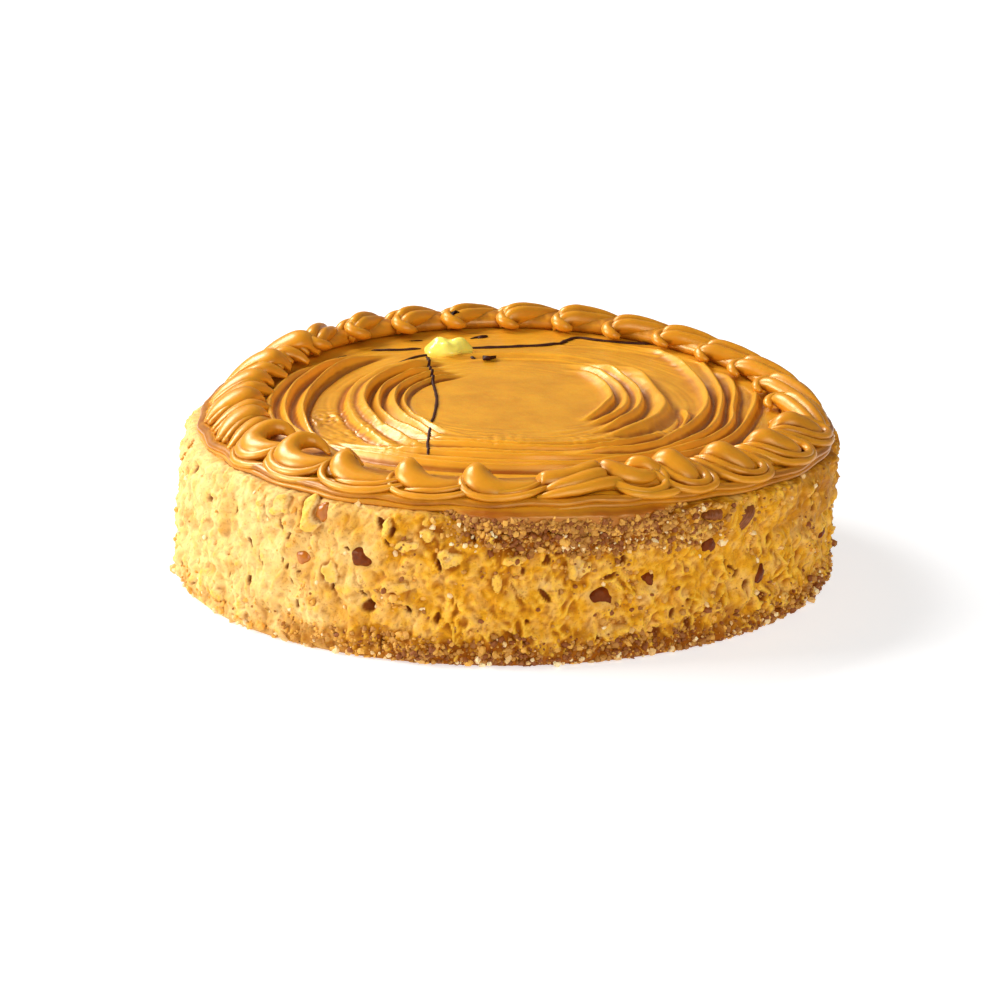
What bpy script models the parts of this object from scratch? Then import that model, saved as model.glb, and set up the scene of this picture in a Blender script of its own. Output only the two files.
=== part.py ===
"""A round coffee cake: a sponge rolled in crumbs, combed coffee icing and a border of piped scrolls.

Lengths are in millimetres until the mesh is made, +Z is up, and the view from the front looks along +Y.
Every piece is drawn on a straight, upright cake first. The function settle() then gives it the lean and
the sag that the real cake has, so that neighbours keep fitting each other.
"""

import math

import bpy
import numpy as np
from mathutils import Vector, noise

MM = 0.001
GAP = 0.35

# Driving sizes of the straight cake
CAKE_RADIUS = 124.0
ICING_LEVEL = 64.0
ICING_THICKNESS = 4.0
ICING_RADIUS = 118.2
STEP_RADIUS = 115.2
BORDER_RADIUS = 110.0
SCROLLS = 28

# How the cake has settled
TOP_LEAN = 4.5
RIGHT_DROP = 1.9
BACK_RISE = 2.2
SIDE_SAG = 5.5
SETTLE_REACH = 110.0
FOOT_SHIFT = -1.65
# The icing and its border sag over the rim a little left of the front. The border stands further in on
# the left, and its crest is higher behind that.
FRONT_DROOP = 2.0
DROOP_ANGLE = 254.0
LEFT_PULL = 1.6
LEFT_ANGLE = 188.0
CREST_LIFT = 2.8
LIFT_ANGLE = 145.0

SIDE_SEGMENTS = 120
ICING_SEGMENTS = 60


def settle(point):
    """Move a point of the straight cake to where the settled cake has it."""
    x, y, z = point
    height = z / ICING_LEVEL
    reach = x / SETTLE_REACH
    lift = BACK_RISE * y / SETTLE_REACH - RIGHT_DROP * reach - SIDE_SAG * reach * reach
    return (x + FOOT_SHIFT + TOP_LEAN * height * height, y, z + height * lift)


def polar(radius, angle, z):
    return (radius * math.cos(angle), radius * math.sin(angle), z)


def smooth_step(low, high, value):
    share = min(max((value - low) / (high - low), 0.0), 1.0)
    return share * share * (3.0 - 2.0 * share)


def angle_between(a, b):
    """The difference of two angles in degrees, from -180 to 180."""
    return (a - b + 180.0) % 360.0 - 180.0


def food_material(name, colour, roughness):
    material = bpy.data.materials.new(name)
    material.use_nodes = True
    shader = material.node_tree.nodes["Principled BSDF"]
    shader.inputs["Base Color"].default_value = (*colour, 1.0)
    shader.inputs["Roughness"].default_value = roughness
    shader.inputs["Metallic"].default_value = 0.0
    return material


def add_object(name, points, faces, material):
    """One closed mesh object, its points settled and turned to metres."""
    mesh = bpy.data.meshes.new(name)
    mesh.from_pydata([[MM * value for value in settle(p)] for p in points], [], faces)
    mesh.materials.append(material)
    mesh.update()
    ob = bpy.data.objects.new(name, mesh)
    bpy.context.scene.collection.objects.link(ob)
    return ob


def turned_solid(rows, bottom, top):
    """Points and faces of a solid round the Z axis: rings from the bottom up, closed by two end points."""
    count = len(rows[0])
    points = [bottom] + [p for row in rows for p in row] + [top]
    faces = []
    for i in range(count):
        j = (i + 1) % count
        faces.append((0, 1 + j, 1 + i))
        for row in range(len(rows) - 1):
            low = 1 + row * count
            high = low + count
            faces.append((low + i, low + j, high + j, high + i))
        last = 1 + (len(rows) - 1) * count
        faces.append((last + i, last + j, len(points) - 1))
    return points, faces


def tube_faces(stations, sides):
    """Faces of a capped tube whose sections run anticlockwise as seen from its start."""
    faces = []
    for i in range(stations - 1):
        for k in range(sides):
            n = (k + 1) % sides
            low, high = i * sides, (i + 1) * sides
            faces.append((low + k, high + k, high + n, low + n))
    last = (stations - 1) * sides
    return faces + [tuple(range(sides)), tuple(range(last + sides - 1, last - 1, -1))]


def apply_boolean(target, operand, operation, solver):
    """Apply one Boolean of a whole collection, then remove the collection's objects."""
    modifier = target.modifiers.new("join", "BOOLEAN")
    modifier.operation = operation
    modifier.operand_type = "COLLECTION"
    modifier.collection = operand
    modifier.solver = solver
    graph = bpy.context.evaluated_depsgraph_get()
    joined = bpy.data.meshes.new_from_object(target.evaluated_get(graph))
    target.modifiers.remove(modifier)
    old = target.data
    target.data = joined
    bpy.data.meshes.remove(old)
    for ob in list(operand.objects):
        bpy.data.objects.remove(ob)
    bpy.data.collections.remove(operand)


def into_collection(name, objects):
    """A collection that holds these objects and nothing else."""
    group = bpy.data.collections.new(name)
    bpy.context.scene.collection.children.link(group)
    for ob in objects:
        bpy.context.scene.collection.objects.unlink(ob)
        group.objects.link(ob)
    return group


# The icing's lower edge: a lip all round, and a deep smear at the front
LIP_HEIGHT = 58.7
SMEAR_HEIGHT = 51.6
SMEAR_ANGLE = 279.0
SMEAR_HALF_SPAN = 22.0
SMEAR_BULGE = 5.4
EDGE_START = 104.0
EDGE_DROP = 3.6


def droop_share(angle):
    """How much of the sag at the front there is at an angle in radians, from 0 to 1."""
    return 1.0 - smooth_step(8.0, 36.0, abs(angle_between(math.degrees(angle), DROOP_ANGLE)))


def left_share(angle):
    """How much of the shift inwards on the left there is at an angle in radians, from 0 to 1."""
    return 1.0 - smooth_step(10.0, 45.0, abs(angle_between(math.degrees(angle), LEFT_ANGLE)))


def lift_share(angle):
    """How much of the border's lift behind the left there is at an angle in radians, from 0 to 1."""
    return 1.0 - smooth_step(12.0, 48.0, abs(angle_between(math.degrees(angle), LIFT_ANGLE)))


def smear_share(angle):
    """How far the icing is smeared down the side at an angle in radians, from 0 to 1."""
    off = abs(angle_between(math.degrees(angle), SMEAR_ANGLE))
    return 1.0 - smooth_step(SMEAR_HALF_SPAN - 12.0, SMEAR_HALF_SPAN + 3.0, off)


def lip_curve(angle):
    """The smooth line of the icing's lower edge: its height at an angle in radians."""
    wave = 0.25 * math.sin(9.0 * angle) + 0.15 * math.sin(17.0 * angle + 1.0)
    lip = LIP_HEIGHT - FRONT_DROOP * droop_share(angle)
    return lip + (SMEAR_HEIGHT - lip) * smear_share(angle) + wave


def lip_height(angle):
    """The lower edge as the icing's flat segments have it, so that the cake under it keeps its gap."""
    place = angle / math.tau * ICING_SEGMENTS
    index = math.floor(place)
    here = lip_curve(math.tau * index / ICING_SEGMENTS)
    after = lip_curve(math.tau * (index + 1) / ICING_SEGMENTS)
    return here + (after - here) * (place - index)


# The crumb coat on the side
CRAG_SIZE = 9.0
CRAG_DEPTH = 2.3
FINE_CRAG_SIZE = 4.2
FINE_CRAG_DEPTH = 1.6
FOOT_RADIUS = 122.0
SHOULDER_START = 46.0
SHOULDER_PULL = 2.6


def crags(angle, z):
    """Relief of the crumb coat: soft lumps with smaller crags on them."""
    x, y, z = polar(CAKE_RADIUS, angle, z)
    lumps = noise.noise(Vector((x, y, z * 1.2)) / CRAG_SIZE)
    small = noise.noise(Vector((y + 400.0, x, z)) / FINE_CRAG_SIZE)
    return CRAG_DEPTH * lumps + FINE_CRAG_DEPTH * small


def side_radius(angle, z):
    shoulder = max(z - SHOULDER_START, 0.0) / (ICING_LEVEL - SHOULDER_START)
    calm = smooth_step(0.0, 5.0, z)
    return CAKE_RADIUS - SHOULDER_PULL * shoulder ** 2 + crags(angle, z) * calm


def make_cake_body():
    """The sponge with its crumb coat, stepped at the top for the icing to sit on."""
    angles = [math.tau * i / SIDE_SEGMENTS for i in range(SIDE_SEGMENTS)]
    side_rows = 10
    rows = [[polar(FOOT_RADIUS + 0.6 * crags(a, 0.0), a, 0.0) for a in angles]]
    for row in range(side_rows):
        share = (row + 0.5) / (side_rows - 0.5)
        heights = [share * (lip_height(a) - GAP) for a in angles]
        rows.append([polar(side_radius(a, z), a, z) for a, z in zip(angles, heights)])
    step_top = ICING_LEVEL - ICING_THICKNESS - GAP
    rows.append([polar(STEP_RADIUS, a, lip_height(a) - GAP) for a in angles])
    rows.append([polar(STEP_RADIUS, a, step_top) for a in angles])
    points, faces = turned_solid(rows, (0.0, 0.0, 0.0), (0.0, 0.0, step_top))
    material = food_material("crumb_coat", (0.78, 0.46, 0.12), 0.75)
    return add_object("cake_body", points, faces, material)


# The combed swirl: a smooth oval middle, and ridges between it and the border.
# Each ridge is where it lies from the oval (0) to the border (1), its height in millimetres,
# its half width on the same scale, the angle of its middle and half its span in degrees.
OVAL_MIDDLE = (-3.3, 7.0)
OVAL_HALF = (37.0, 48.0)
SWIRL_OUTER = 97.0
RIDGES = (
    (0.07, 3.2, 0.050, 180.0, 75.0),
    (0.17, 3.2, 0.045, 178.0, 80.0),
    (0.29, 4.0, 0.060, 182.0, 85.0),
    (0.66, 3.8, 0.050, 168.0, 75.0),
    (0.80, 3.0, 0.050, 185.0, 70.0),
    (0.91, 2.4, 0.040, 205.0, 60.0),
    (0.03, 2.6, 0.050, 5.0, 50.0),
    (0.14, 3.0, 0.050, 10.0, 62.0),
    (0.27, 3.8, 0.070, 15.0, 68.0),
    (0.62, 3.4, 0.045, 0.0, 72.0),
    (0.72, 3.0, 0.040, 352.0, 76.0),
    (0.84, 3.0, 0.045, 345.0, 70.0),
    (0.42, 1.8, 0.045, 282.0, 50.0),
    (0.55, 2.3, 0.050, 276.0, 62.0),
    (0.92, 2.4, 0.045, 275.0, 60.0),
    (0.10, 0.8, 0.050, 90.0, 45.0),
    (0.30, 0.8, 0.050, 75.0, 40.0),
)


def oval_radius(angle):
    """Distance from the cake's middle to the edge of the smooth oval."""
    dx, dy = math.cos(angle) / OVAL_HALF[0], math.sin(angle) / OVAL_HALF[1]
    cx, cy = -OVAL_MIDDLE[0] / OVAL_HALF[0], -OVAL_MIDDLE[1] / OVAL_HALF[1]
    a = dx * dx + dy * dy
    b = dx * cx + dy * cy
    c = cx * cx + cy * cy - 1.0
    return (-b + math.sqrt(b * b - a * c)) / a


def swirl_relief(radius, angle):
    """Height of the combed ridges over the icing's level."""
    inner = oval_radius(angle)
    place = (radius - inner) / (SWIRL_OUTER - inner)
    degrees = math.degrees(angle)
    relief = 0.0
    for where, height, width, middle, span in RIDGES:
        along = 1.0 - smooth_step(0.55 * span, span, abs(angle_between(degrees, middle)))
        across = math.exp(-((place - where) / width) ** 2)
        relief = max(relief, height * along * across)
    return relief


def icing_height(radius, angle):
    """Height of the icing's upper face, ridges and rounded edge included."""
    if radius <= SWIRL_OUTER:
        return ICING_LEVEL + swirl_relief(radius, angle)
    edge = max(radius - EDGE_START, 0.0) / (ICING_RADIUS - EDGE_START)
    return ICING_LEVEL - EDGE_DROP * edge ** 3


# Drizzle lines as places on the icing: right of the middle, behind the middle
DRIZZLE_HALF_WIDTH = 1.1
DRIZZLE_RISE = 0.9
DRIZZLE_STEP = 6.5
DRIZZLE_LINES = (
    ((-15.5, 71.0), (0.0, 73.3), (16.5, 78.5), (24.5, 90.0), (33.0, 87.0), (43.0, 85.0)),
    ((-37.5, 70.5), (-47.0, 69.0), (-56.0, 69.5)),
    ((-39.0, 58.5), (-44.6, 50.0), (-51.0, 41.8)),
    ((-34.0, 55.0), (-33.4, 46.0), (-31.6, 26.0), (-29.2, 0.0), (-29.2, -31.0)),
    ((-31.0, -46.0), (-31.6, -60.0), (-31.4, -76.0)),
)
CHIPS = ((-10.0, 53.5, 5.5, 3.2, 25.0), (-12.5, 87.5, 7.5, 2.0, 32.0))


def line_points(line):
    """Evenly spaced places along straight runs between the given places."""
    places = []
    for (x0, y0), (x1, y1) in zip(line, line[1:]):
        steps = max(1, round(math.hypot(x1 - x0, y1 - y0) / DRIZZLE_STEP))
        for i in range(steps):
            places.append((x0 + (x1 - x0) * i / steps, y0 + (y1 - y0) * i / steps))
    places.append(line[-1])
    return places


def make_drizzle_line(line, material):
    """A low six-sided bead of chocolate that follows the icing's ridges, half sunk in them."""
    places = line_points(line)
    section = [(-1.0, 0.0), (-0.6, -0.8), (0.6, -0.8), (1.0, 0.0), (0.5, 1.0), (-0.5, 1.0)]
    points = []
    for i, (x, y) in enumerate(places):
        ahead = places[min(i + 1, len(places) - 1)]
        behind = places[max(i - 1, 0)]
        length = math.hypot(ahead[0] - behind[0], ahead[1] - behind[1])
        side = ((ahead[1] - behind[1]) / length, (behind[0] - ahead[0]) / length)
        level = icing_height(math.hypot(x, y), math.atan2(y, x))
        narrow = 0.55 if i in (0, len(places) - 1) else 1.0
        for across, up in section:
            wide = across * DRIZZLE_HALF_WIDTH * narrow
            points.append((x - side[0] * wide, y - side[1] * wide, level + up * DRIZZLE_RISE * narrow))
    faces = tube_faces(len(places), len(section))
    return add_object("drizzle", points, [face[::-1] for face in faces], material)


def make_chip(x, y, length, width, turn, material):
    """A flat shard of chocolate lying half sunk on the icing."""
    level = icing_height(math.hypot(x, y), math.atan2(y, x))
    c, s = math.cos(math.radians(turn)), math.sin(math.radians(turn))
    corners = ((-0.5, -0.35), (0.1, -0.5), (0.5, 0.1), (0.05, 0.5), (-0.45, 0.3))
    points = []
    for up in (-0.9, 1.5):
        for u, v in corners:
            u, v = u * length, v * width
            points.append((x + c * u - s * v, y + s * u + c * v, level + up))
    count = len(corners)
    faces = [tuple(range(count - 1, -1, -1)), tuple(range(count, 2 * count))]
    faces += [(k, (k + 1) % count, count + (k + 1) % count, count + k) for k in range(count)]
    return add_object("chip", points, faces, material)


def make_icing():
    """The coffee icing on the top, with its lip, ridges, chocolate drizzle and chips in one solid."""
    angles = [math.tau * i / ICING_SEGMENTS for i in range(ICING_SEGMENTS)]
    underside = ICING_LEVEL - ICING_THICKNESS
    rows = [
        [polar(STEP_RADIUS + GAP, a, underside) for a in angles],
        [polar(STEP_RADIUS + GAP, a, lip_height(a)) for a in angles],
        [polar(ICING_RADIUS + SMEAR_BULGE * smear_share(a), a, lip_height(a)) for a in angles],
    ]
    for radius in (ICING_RADIUS, 112.0, SWIRL_OUTER + 0.1):
        rows.append([polar(radius, a, icing_height(radius, a)) for a in angles])
    rings = 18
    for ring in range(rings, -1, -1):
        share = ring / rings
        row = []
        for a in angles:
            radius = oval_radius(a) + share * (SWIRL_OUTER - 1.5 - oval_radius(a))
            row.append(polar(radius, a, icing_height(radius, a)))
        rows.append(row)
    rows.append([polar(oval_radius(a) * 0.5, a, ICING_LEVEL + 0.2) for a in angles])
    points, faces = turned_solid(rows, (0.0, 0.0, underside), (0.0, 0.0, ICING_LEVEL + 0.3))
    icing = add_object("icing", points, faces, food_material("coffee_icing", (0.62, 0.29, 0.06), 0.4))
    chocolate = food_material("dark_chocolate", (0.035, 0.012, 0.006), 0.35)
    pieces = [make_drizzle_line(line, chocolate) for line in DRIZZLE_LINES]
    pieces += [make_chip(*chip, chocolate) for chip in CHIPS]
    apply_boolean(icing, into_collection("chocolate", pieces), "UNION", "MANIFOLD")
    return icing


# The piped border: one scroll of cream after another, each a fat lobe with thin ridges of the nozzle round it.
# Each tube of cream is how far its inner side is stretched, then the rows of its way: place along the rim,
# radius, height, half width and half height. A round ridge has one radius in place of the two halves.
SCROLL_PITCH = math.tau * BORDER_RADIUS / SCROLLS
FRONT_SCROLL = (
    (1.4, ((7.2, 101.6, 66.0, 1.0, 1.0), (4.2, 102.4, 68.2, 2.2, 2.4), (2.0, 104.6, 69.7, 3.3, 3.6),
           (1.9, 107.6, 69.0, 4.3, 4.3), (3.9, 110.0, 67.7, 5.2, 4.5), (7.6, 111.6, 66.2, 5.5, 4.2),
           (12.0, 112.3, 65.2, 5.1, 3.8), (17.0, 112.0, 64.9, 4.6, 3.4), (21.4, 111.0, 64.9, 4.0, 3.1),
           (25.0, 109.6, 65.0, 3.2, 2.8), (27.8, 108.4, 65.0, 1.4, 1.4))),
    (1.0, ((0.0, 104.6, 67.8, 0.6), (-1.9, 108.0, 67.8, 1.1), (-1.6, 112.0, 66.9, 1.3), (0.6, 115.6, 65.6, 1.3),
           (4.8, 118.2, 64.5, 1.3), (10.5, 119.2, 64.0, 1.4), (16.0, 119.0, 64.1, 1.4), (21.4, 117.8, 64.6, 1.4),
           (26.2, 115.4, 65.4, 1.2), (29.4, 113.2, 66.0, 0.6))),
    (1.0, ((6.0, 115.6, 65.2, 0.6), (11.0, 116.6, 65.5, 1.2), (16.6, 116.2, 65.6, 1.3), (21.6, 114.4, 66.2, 1.3),
           (25.4, 111.4, 67.0, 1.1), (27.6, 108.4, 67.6, 0.6))),
)
HOLLOW_SCROLL = (
    (1.15, ((12.5, 97.4, 65.4, 0.6, 0.6), (8.6, 96.8, 67.0, 1.6, 1.6), (4.4, 98.4, 68.6, 2.2, 2.5),
            (1.6, 102.4, 69.2, 2.9, 3.4), (1.6, 107.4, 68.2, 3.7, 4.0), (4.4, 111.2, 66.7, 4.5, 4.1),
            (9.0, 112.8, 65.9, 4.6, 3.8), (14.4, 112.4, 65.6, 4.5, 3.6), (19.2, 110.2, 65.6, 4.0, 3.3),
            (23.0, 107.2, 65.6, 3.0, 2.8), (25.4, 104.4, 65.2, 1.2, 1.4))),
    (1.0, ((3.0, 98.0, 66.6, 0.6), (-0.8, 100.8, 67.6, 1.3), (-2.4, 106.0, 67.4, 1.6), (-0.8, 111.8, 66.4, 1.7),
           (4.0, 116.2, 65.0, 1.8), (10.0, 117.8, 64.2, 1.9), (16.0, 117.0, 64.4, 1.9), (20.4, 114.0, 65.6, 1.8),
           (22.4, 109.6, 67.0, 1.6), (22.2, 106.0, 67.4, 0.7))),
    (1.0, ((-2.0, 113.4, 64.6, 0.8), (1.4, 117.0, 63.4, 1.3), (8.0, 119.4, 62.0, 1.5), (16.0, 119.4, 61.9, 1.5),
           (23.0, 117.8, 62.8, 1.3), (27.0, 115.6, 63.6, 0.7))),
)
FAN_SCROLL = (
    (1.0, ((0.6, 108.2, 66.0, 1.6, 1.8), (2.4, 107.8, 67.4, 3.6, 3.2), (8.0, 107.2, 67.6, 4.4, 3.5),
           (15.0, 106.0, 67.9, 4.2, 3.4), (21.0, 104.4, 68.8, 3.8, 3.2), (26.5, 102.8, 69.2, 3.0, 2.8),
           (29.5, 102.0, 68.0, 1.2, 1.4))),
    (1.0, ((3.0, 112.8, 64.8, 0.8, 0.8), (7.6, 112.4, 66.0, 2.4, 2.0), (15.4, 110.8, 66.9, 3.4, 2.8),
           (23.4, 108.4, 67.6, 3.8, 3.1), (28.4, 107.0, 67.5, 3.4, 2.8), (29.8, 106.8, 66.7, 1.4, 1.6))),
    (1.0, ((1.0, 116.6, 63.4, 0.8, 0.8), (7.0, 116.6, 64.2, 2.0, 1.8), (17.0, 115.0, 65.0, 3.0, 2.4),
           (27.0, 112.8, 65.8, 3.3, 2.6), (35.0, 111.6, 65.6, 2.6, 2.2), (38.5, 112.0, 64.7, 1.0, 1.0))),
)
HOOK_SCROLL = (
    (1.0, ((3.6, 101.0, 67.0, 1.4, 1.6), (5.0, 102.6, 69.2, 2.8, 3.0), (8.0, 105.4, 69.0, 4.2, 3.8),
           (13.0, 108.4, 67.7, 5.0, 4.0), (19.0, 110.0, 66.8, 4.8, 3.8), (25.0, 109.6, 66.4, 3.6, 3.2),
           (29.0, 108.0, 66.0, 1.6, 1.8))),
    (1.0, ((17.5, 99.8, 67.0, 1.0, 1.2), (20.0, 101.2, 69.0, 2.4, 2.6), (24.5, 103.6, 69.3, 3.0, 3.2),
           (29.0, 106.0, 68.2, 3.0, 3.0), (31.5, 108.6, 66.6, 1.6, 1.8))),
    (1.0, ((4.4, 106.0, 67.6, 0.8), (6.4, 110.6, 66.6, 1.5), (12.0, 115.6, 65.0, 1.6), (20.0, 118.0, 64.0, 1.7),
           (27.6, 116.6, 64.7, 1.7), (31.2, 112.2, 66.2, 1.7), (31.6, 107.0, 68.0, 1.6), (30.0, 103.0, 68.8, 0.8))),
    (1.0, ((8.0, 114.6, 64.6, 0.8), (13.0, 118.4, 63.2, 1.6), (21.0, 119.8, 62.6, 1.8), (30.0, 119.4, 62.8, 1.8),
           (36.0, 117.4, 63.4, 1.0))),
)
RIGHT_SCROLL = (
    (1.0, ((9.6, 97.4, 66.2, 1.6, 1.8), (10.6, 100.2, 69.0, 3.9, 3.6), (12.4, 104.4, 69.8, 4.9, 4.5),
           (14.6, 109.0, 68.3, 4.9, 4.1), (16.6, 113.0, 66.6, 4.1, 3.5), (18.0, 115.6, 65.2, 2.0, 2.1))),
    (1.0, ((15.8, 96.0, 66.0, 0.8), (18.4, 99.4, 67.8, 1.5), (20.6, 104.0, 68.4, 1.9), (22.2, 109.6, 67.3, 2.0),
           (22.4, 114.6, 65.9, 1.9), (19.4, 117.8, 64.9, 1.7), (14.4, 117.2, 65.0, 1.7), (10.2, 113.4, 66.2, 1.8),
           (7.6, 108.2, 67.6, 1.9), (6.0, 103.0, 68.2, 1.7), (5.4, 98.4, 67.2, 0.8))),
    (1.0, ((25.6, 108.0, 66.8, 0.8), (26.0, 113.4, 65.4, 1.5), (23.0, 118.2, 63.9, 1.7), (16.4, 119.8, 63.2, 1.7),
           (9.8, 118.0, 63.8, 1.8), (5.6, 113.6, 65.4, 1.9), (3.4, 108.0, 66.9, 2.0), (2.0, 102.0, 67.6, 1.9),
           (1.4, 97.0, 66.2, 0.8))),
)
LEFT_SCROLL = (
    (1.0, ((-3.0, 96.0, 65.6, 1.6, 1.2), (-1.4, 99.4, 67.8, 4.4, 2.8), (1.6, 104.0, 68.9, 6.4, 3.9),
           (5.4, 109.0, 68.1, 6.0, 3.6), (9.2, 113.8, 66.1, 4.0, 2.8), (12.2, 117.6, 63.8, 1.4, 1.2))),
    (1.0, ((9.6, 94.0, 65.4, 1.4, 1.2), (11.2, 98.6, 67.2, 3.0, 2.4), (14.0, 103.4, 68.2, 4.2, 3.2),
           (17.6, 108.6, 67.4, 4.0, 3.0), (21.4, 113.4, 65.6, 2.8, 2.4), (24.4, 117.4, 63.8, 1.2, 1.2))),
    (1.0, ((4.2, 97.4, 66.4, 0.8), (5.8, 102.0, 68.4, 1.6), (8.8, 107.2, 68.2, 1.9), (12.6, 112.2, 66.6, 1.9),
           (16.2, 116.6, 64.4, 1.2))),
    (1.0, ((16.8, 98.0, 66.4, 0.8), (18.6, 102.6, 68.4, 1.6), (21.4, 107.4, 68.0, 1.9), (25.0, 112.4, 66.4, 1.8),
           (28.6, 116.8, 64.2, 1.1))),
)
BACK_SCROLL = (
    (1.0, ((23.0, 98.2, 66.2, 1.2, 1.4), (20.4, 99.2, 68.2, 2.6, 2.8), (15.4, 101.6, 68.8, 3.1, 3.4),
           (9.6, 104.8, 68.2, 3.2, 3.4), (4.0, 108.0, 67.4, 3.0, 3.2), (-1.0, 110.8, 66.6, 2.4, 2.6),
           (-4.6, 112.6, 65.8, 1.0, 1.2))),
    (1.0, ((24.0, 101.4, 66.8, 1.2, 1.4), (21.4, 102.8, 69.4, 2.7, 3.0), (16.6, 105.6, 70.0, 3.2, 3.5),
           (10.8, 108.8, 69.2, 3.2, 3.4), (5.0, 111.8, 68.0, 2.9, 3.1), (0.0, 114.4, 66.6, 2.2, 2.4),
           (-3.6, 116.2, 65.2, 1.0, 1.2))),
    (1.0, ((25.6, 105.4, 66.0, 1.4, 1.2), (22.4, 108.0, 67.8, 2.8, 2.7), (16.6, 111.0, 67.8, 3.2, 3.0),
           (10.0, 114.0, 66.4, 3.0, 2.8), (4.0, 116.8, 64.6, 1.8, 1.6))),
    (1.0, ((15.0, 96.6, 66.4, 0.9), (18.2, 95.8, 67.2, 1.9), (22.0, 97.4, 68.0, 2.3), (23.2, 100.8, 68.9, 2.1),
           (20.6, 104.4, 69.5, 1.7), (15.6, 107.6, 69.3, 1.4), (10.6, 110.6, 68.3, 1.3), (6.0, 113.4, 67.0, 0.9))),
)
# Where the scrolls start, in degrees, and the form of each, from the left side past the front to the right
FRONT_STARTS = (194.0, 207.0, 219.0, 233.5, 247.5, 261.0, 273.5, 284.5, 295.0, 307.5, 322.0, 339.0, 354.0)
FRONT_FORMS = (LEFT_SCROLL, HOLLOW_SCROLL, HOLLOW_SCROLL, FRONT_SCROLL, FRONT_SCROLL, FRONT_SCROLL, FAN_SCROLL,
               HOOK_SCROLL, RIGHT_SCROLL, RIGHT_SCROLL, RIGHT_SCROLL, RIGHT_SCROLL)
LEFT_FORMS = 4
MM_PER_STATION = 2.0
LOBE_SIDES = 12
RIDGE_SIDES = 8
CREST_POWER = 1.25
SCROLL_SEED = 11
BORDER_CLEARANCE = 1.0
RIM_CLEARANCE = 1.2
# The bed of cream under the scrolls and the band at its foot: radius, height, half width, half height
BED = (107.8, 64.4, 7.8, 4.2)
BAND = (117.0, 61.8, 3.6, 2.4)
BACK_RISE_OF_BED = 1.8
BED_COLUMNS = 180
BED_SIDES = 10
HOLLOW_SCROLLS = (1, 2)
HOLLOW_SHIFT = 4.0
BORDER_VOXEL = 1.0
BORDER_TRIANGLES = 4800


def curve_through(path, count):
    """So many places, evenly shared out, on a smooth curve through the rows of a table."""
    path = np.array(path, float)
    ends = np.vstack([2.0 * path[0] - path[1], path, 2.0 * path[-1] - path[-2]])
    run = np.linspace(0.0, len(path) - 1.0, count)
    index = np.minimum(run.astype(int), len(path) - 2)
    t = (run - index)[:, None]
    a, b, c, d = (ends[index + k] for k in range(4))
    return b + 0.5 * t * (c - a + t * (2.0 * a - 5.0 * b + 4.0 * c - d + t * (3.0 * (b - c) + d - a)))


def scroll_start(index):
    """The angle at which a scroll starts; the scrolls behind the cake are evenly spread."""
    turns, place = divmod(index, SCROLLS)
    last_start = len(FRONT_STARTS) - 1
    if place <= last_start:
        degrees = FRONT_STARTS[place]
    else:
        rest = FRONT_STARTS[0] + 360.0 - FRONT_STARTS[last_start]
        degrees = FRONT_STARTS[last_start] + rest * (place - last_start) / (SCROLLS - last_start)
    return math.radians(degrees + 360.0 * turns)


def scroll_form(index):
    """The tubes of a scroll: those behind the cake are back scrolls, up to the left ones."""
    if index < len(FRONT_FORMS):
        return FRONT_FORMS[index]
    return LEFT_SCROLL if index >= SCROLLS - LEFT_FORMS else BACK_SCROLL


def border_floor(radius, angle):
    """The lowest that the border may reach: just over the icing, its smear, and the coat outside its rim."""
    if radius <= ICING_RADIUS + RIM_CLEARANCE:
        return icing_height(radius, angle) + BORDER_CLEARANCE
    lip = lip_curve(angle)
    smear_reach = SMEAR_BULGE * smear_share(angle)
    if radius < ICING_RADIUS + smear_reach:
        rim_top = ICING_LEVEL - EDGE_DROP
        return rim_top + (lip - rim_top) * (radius - ICING_RADIUS) / smear_reach + RIM_CLEARANCE
    return lip + RIM_CLEARANCE


def piped_tube(rows, angle, pitch, stretch, variation):
    """Points and faces of a tube of cream along a scroll's way, with its inner side stretched."""
    fat, out, lift, slide = variation
    length = np.linalg.norm(np.diff(np.array(rows)[:, :3], axis=0), axis=1).sum()
    way = curve_through(rows, round(length / MM_PER_STATION))
    sides = LOBE_SIDES
    if way.shape[1] == 4:
        way = np.column_stack([way, way[:, 3]])
        sides = RIDGE_SIDES
    way[:, 3:] *= 1.0 + 0.09 * fat
    turns = angle + (way[:, 0] + 0.6 * slide) * pitch / BORDER_RADIUS
    radii = way[:, 1] + 0.7 * out - LEFT_PULL * np.array([left_share(turn) for turn in turns])
    heights = way[:, 2] + 0.35 * lift - FRONT_DROOP * np.array([droop_share(turn) for turn in turns])
    lifts = CREST_LIFT * np.array([lift_share(turn) for turn in turns])
    heights += lifts * np.clip((heights - 63.0) / 6.0, 0.0, 1.0)
    places = np.stack([radii * np.cos(turns), radii * np.sin(turns)], axis=1)
    heading = np.gradient(places, axis=0)
    heading /= np.linalg.norm(heading, axis=1)[:, None]
    points = []
    for place, ahead, height, (half_width, half_height) in zip(places, heading, heights, way[:, 3:]):
        for k in range(sides):
            around = math.tau * k / sides
            reach = half_width * math.cos(around) * (stretch if math.cos(around) < 0.0 else 1.0)
            rise = math.copysign(abs(math.sin(around)) ** CREST_POWER, math.sin(around))
            x = place[0] + ahead[1] * reach
            y = place[1] - ahead[0] * reach
            floor = border_floor(math.hypot(x, y), math.atan2(y, x))
            points.append((x, y, max(height + half_height * rise, floor)))
    return points, tube_faces(len(way), sides)


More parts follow.
